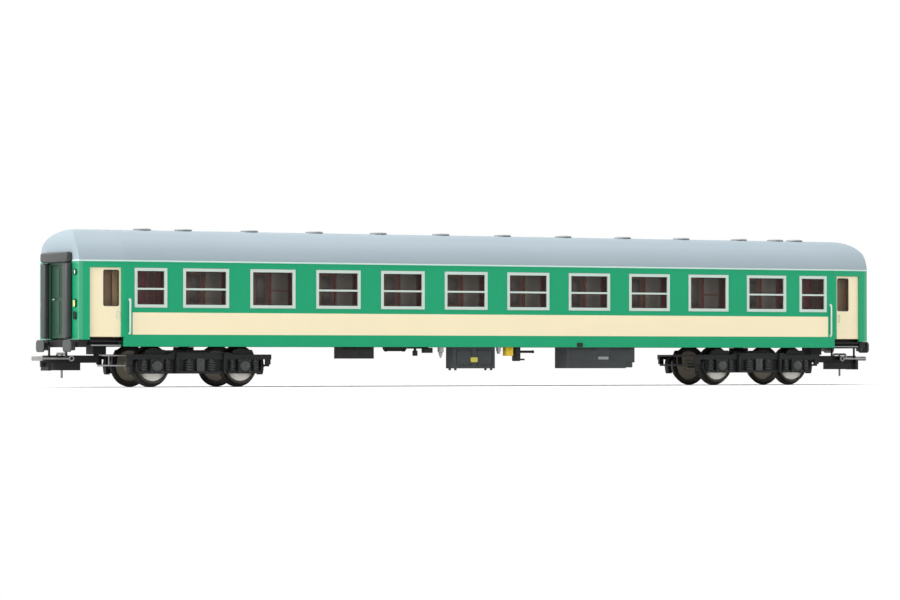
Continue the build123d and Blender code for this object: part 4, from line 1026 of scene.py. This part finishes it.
for end, out in ends.items():
    pivot, body = nodeBox(f"bogie_frame_{end}")[2][0], f"bogie_{end}"
    covers, fittings, posts = [], [], []
    for side in sides:
        for row in ("outer", "inner"):
            x, _, z = nodeBox(f"axle_{row}_{end}")[2]
            place = (x, side * bogie.face, z)
            covers.append(lathe(place, 1, bogie.cover, 24, side))
            covers += fourBolts(place, 1, bogie.coverSpread, bogie.coverBolt, side)
        (along, y), (face, z) = bogie.damperPlace, bogie.rivetPlace
        for hand in sides:
            x = pivot + hand * along
            fittings.append(lathe((x, side * y, 0), 2, bogie.damper, 16))
            row, edge = side * bogie.lugRow, bogie.lugEdge
            fittings += [upright(x, row, *bogie.lug, rows, *edge) for rows in bogie.lugs]
            places = [(pivot + hand * rivet, side * face, z) for rivet in bogie.rivets]
            fittings += [bolt(place, 1, bogie.rivet, side) for place in places]
        back, face = (side * value for value in bogie.blockFaces)
        posts.append(pad(1, back, face, bogie.block, *bogie.blockEdge, shift=pivot))
        posts += [bolt((pivot, face, row), 1, bogie.blockBolt, side, 12) for row in bogie.blockRows]
    beam, edge, strips = pivot + out * bogie.beamFace, bogie.stripEdge, []
    for outline, face in bogie.strips.items():
        strips.append(pad(0, beam, pivot + out * face, outline, *edge))
    piece(f"endBeamStrips.{end}", strips, "steel", body=body)
    piece(f"axleboxCovers.{end}", covers, "bogieGrey", body=body)
    piece(f"bogieFittings.{end}", fittings, "bogie", body=body)
    piece(f"bolsterBlocks.{end}", posts, "bogieGrey", body=body)
print("running gear dressed")

# Coupler loops: round wire in place of the square one

loop = Shape(
    square=0.35,  # half of the square wire
    wire=0.34,
    eye=((0.51, -0.35), (0.85, -0.35), (0.85, 0.35), (0.51, 0.35), (0.51, -0.35)),
    armFrom=0.6, bar=0.7, tail=1.5, bend=0.45, tip=((0, 0), (0.238, 0.08), (0.34, 0.3)),
)
joints = {joint["name"]: joint for joint in frame["record"]["behaviour"]["joints"]}
for end, out in ends.items():
    node = f"coupler_loop_{end}"
    low, high, _ = nodeBox(node)
    pivot, _, level = np.array(joints[f"{node}_lift"]["pos_m"]) / mm
    reach, post = out * max(abs(low[0]), abs(high[0])), pivot + out * loop.tail
    arm, bridge = high[1] - loop.square, high[2] - loop.square
    start, stop = pivot + out * loop.armFrom, reach - out * loop.square
    grids = []
    for y in (-arm, arm):
        grids.append(lathe((pivot, y, level), 1, loop.eye, 20))
        grids.append(pin((start, y, level), (stop, y, level), loop.wire, 10, 4))
    outline = (reach - out * loop.bar, reach, level - loop.bar, level + loop.bar)
    grids.append(pad(1, low[1], high[1], outline, 0.3, 0.3, 4))
    bow = [(post, -arm, level), (post, -arm, bridge), (post, arm, bridge), (post, arm, level)]
    grids.append(rod(bentPath(bow, loop.bend), loop.wire, (1, 0, 0), 10))
    grids.append(lathe((post, 0, low[2]), 2, (*loop.tip, (loop.wire, bridge - low[2])), 12))
    piece(f"couplerLoop.{end}", grids, "loop", (node,), body=node)
print("couplers dressed")

# Camera, floor and light, in metres

view = Shape(
    place=(-0.5942, -1.0681, 0.00818), yaw=28.77, pitch=0.87, focal=156.83, sensor=36, clip=(0.01, 200)
)
camera = added("photoCamera", bpy.data.cameras.new("photoCamera"))
camera.location = view.place
camera.rotation_euler = (math.radians(90 + view.pitch), 0, -math.radians(view.yaw))
camera.data.lens = view.focal
camera.data.sensor_width = view.sensor
camera.data.clip_start, camera.data.clip_end = view.clip
scene.camera = camera

stage = Shape(
    floorSize=60.0, paper=(0.86, 0.86, 0.86, 1), white=(1, 1, 1, 1), sky=0.48,
    fade={"X": 0.155, "Y": 0.05}, fadeRange=(0.9, 2.6),
)
scene.world = bpy.data.worlds.new("studio")
studio = Tree(scene.world)
skies = [{"Color": stage.white, "Strength": level} for level in (stage.sky, 1.0)]
dim, bright = [studio.node("ShaderNodeBackground", {}, sky) for sky in skies]
shown = studio.node("ShaderNodeMixShader", {}, {0: studio.seen(), 1: dim, 2: bright})
studio.node("ShaderNodeOutputWorld", {}, {"Surface": shown})

# the paper shows its shadows near the coach, turns into plain white away from it and is clear from below
paper = Tree(bpy.data.materials.new("floorPaper"))
along, across = ((paper.place(axis) * (1 / half)).calc("POWER", 2.0) for axis, half in stage.fade.items())
far = (along + across).ramp(*stage.fadeRange)
matt = paper.node("ShaderNodeBsdfDiffuse", {}, {"Color": stage.paper})
glow = paper.node("ShaderNodeEmission", {}, {"Color": stage.white, "Strength": 1.0})
sheet = paper.node("ShaderNodeMixShader", {}, {0: far * paper.seen(), 1: matt, 2: glow})
below = paper.node("ShaderNodeNewGeometry", output="Backfacing")
clear = paper.node("ShaderNodeBsdfTransparent")
shown = paper.node("ShaderNodeMixShader", {}, {0: below, 1: sheet, 2: clear})
paper.node("ShaderNodeOutputMaterial", {}, {"Surface": shown})
floorMesh = bpy.data.meshes.new("floor")
corners = np.array(((-1, -1, 0), (1, -1, 0), (1, 1, 0), (-1, 1, 0))) * stage.floorSize
floorMesh.from_pydata(corners, [], [(0, 1, 2, 3)])
floorMesh.materials.append(paper.owner)
floor = added("floor", floorMesh)

lampAim = np.array((0, 0, 0.02))
lamps = {  # place, size, power
    "keyLeft": ((-2.1, -0.2, 0.75), 1.4, 40.0),
    "top": ((0.0, 0.1, 1.8), 1.6, 24.0),
    "frontFill": ((0.3, -1.7, 0.7), 1.2, 1.8),
    "backLift": ((0.3, 1.5, 0.8), 1.2, 3.0),
    "rightFill": ((1.9, -0.7, 0.6), 1.2, 9.0),
}
for name, (place, width, power) in lamps.items():
    lamp = bpy.data.lights.new(name, "AREA")
    lamp.shape = "DISK"
    lamp.size = width
    lamp.energy = power
    lampObject = added(name, lamp)
    lampObject.location = place
    x, y, z = lampAim - place
    lampObject.rotation_euler = (math.atan2(math.hypot(x, y), -z), 0, math.atan2(-x, y))
scene.view_settings.view_transform = "Standard"
print("stage set")
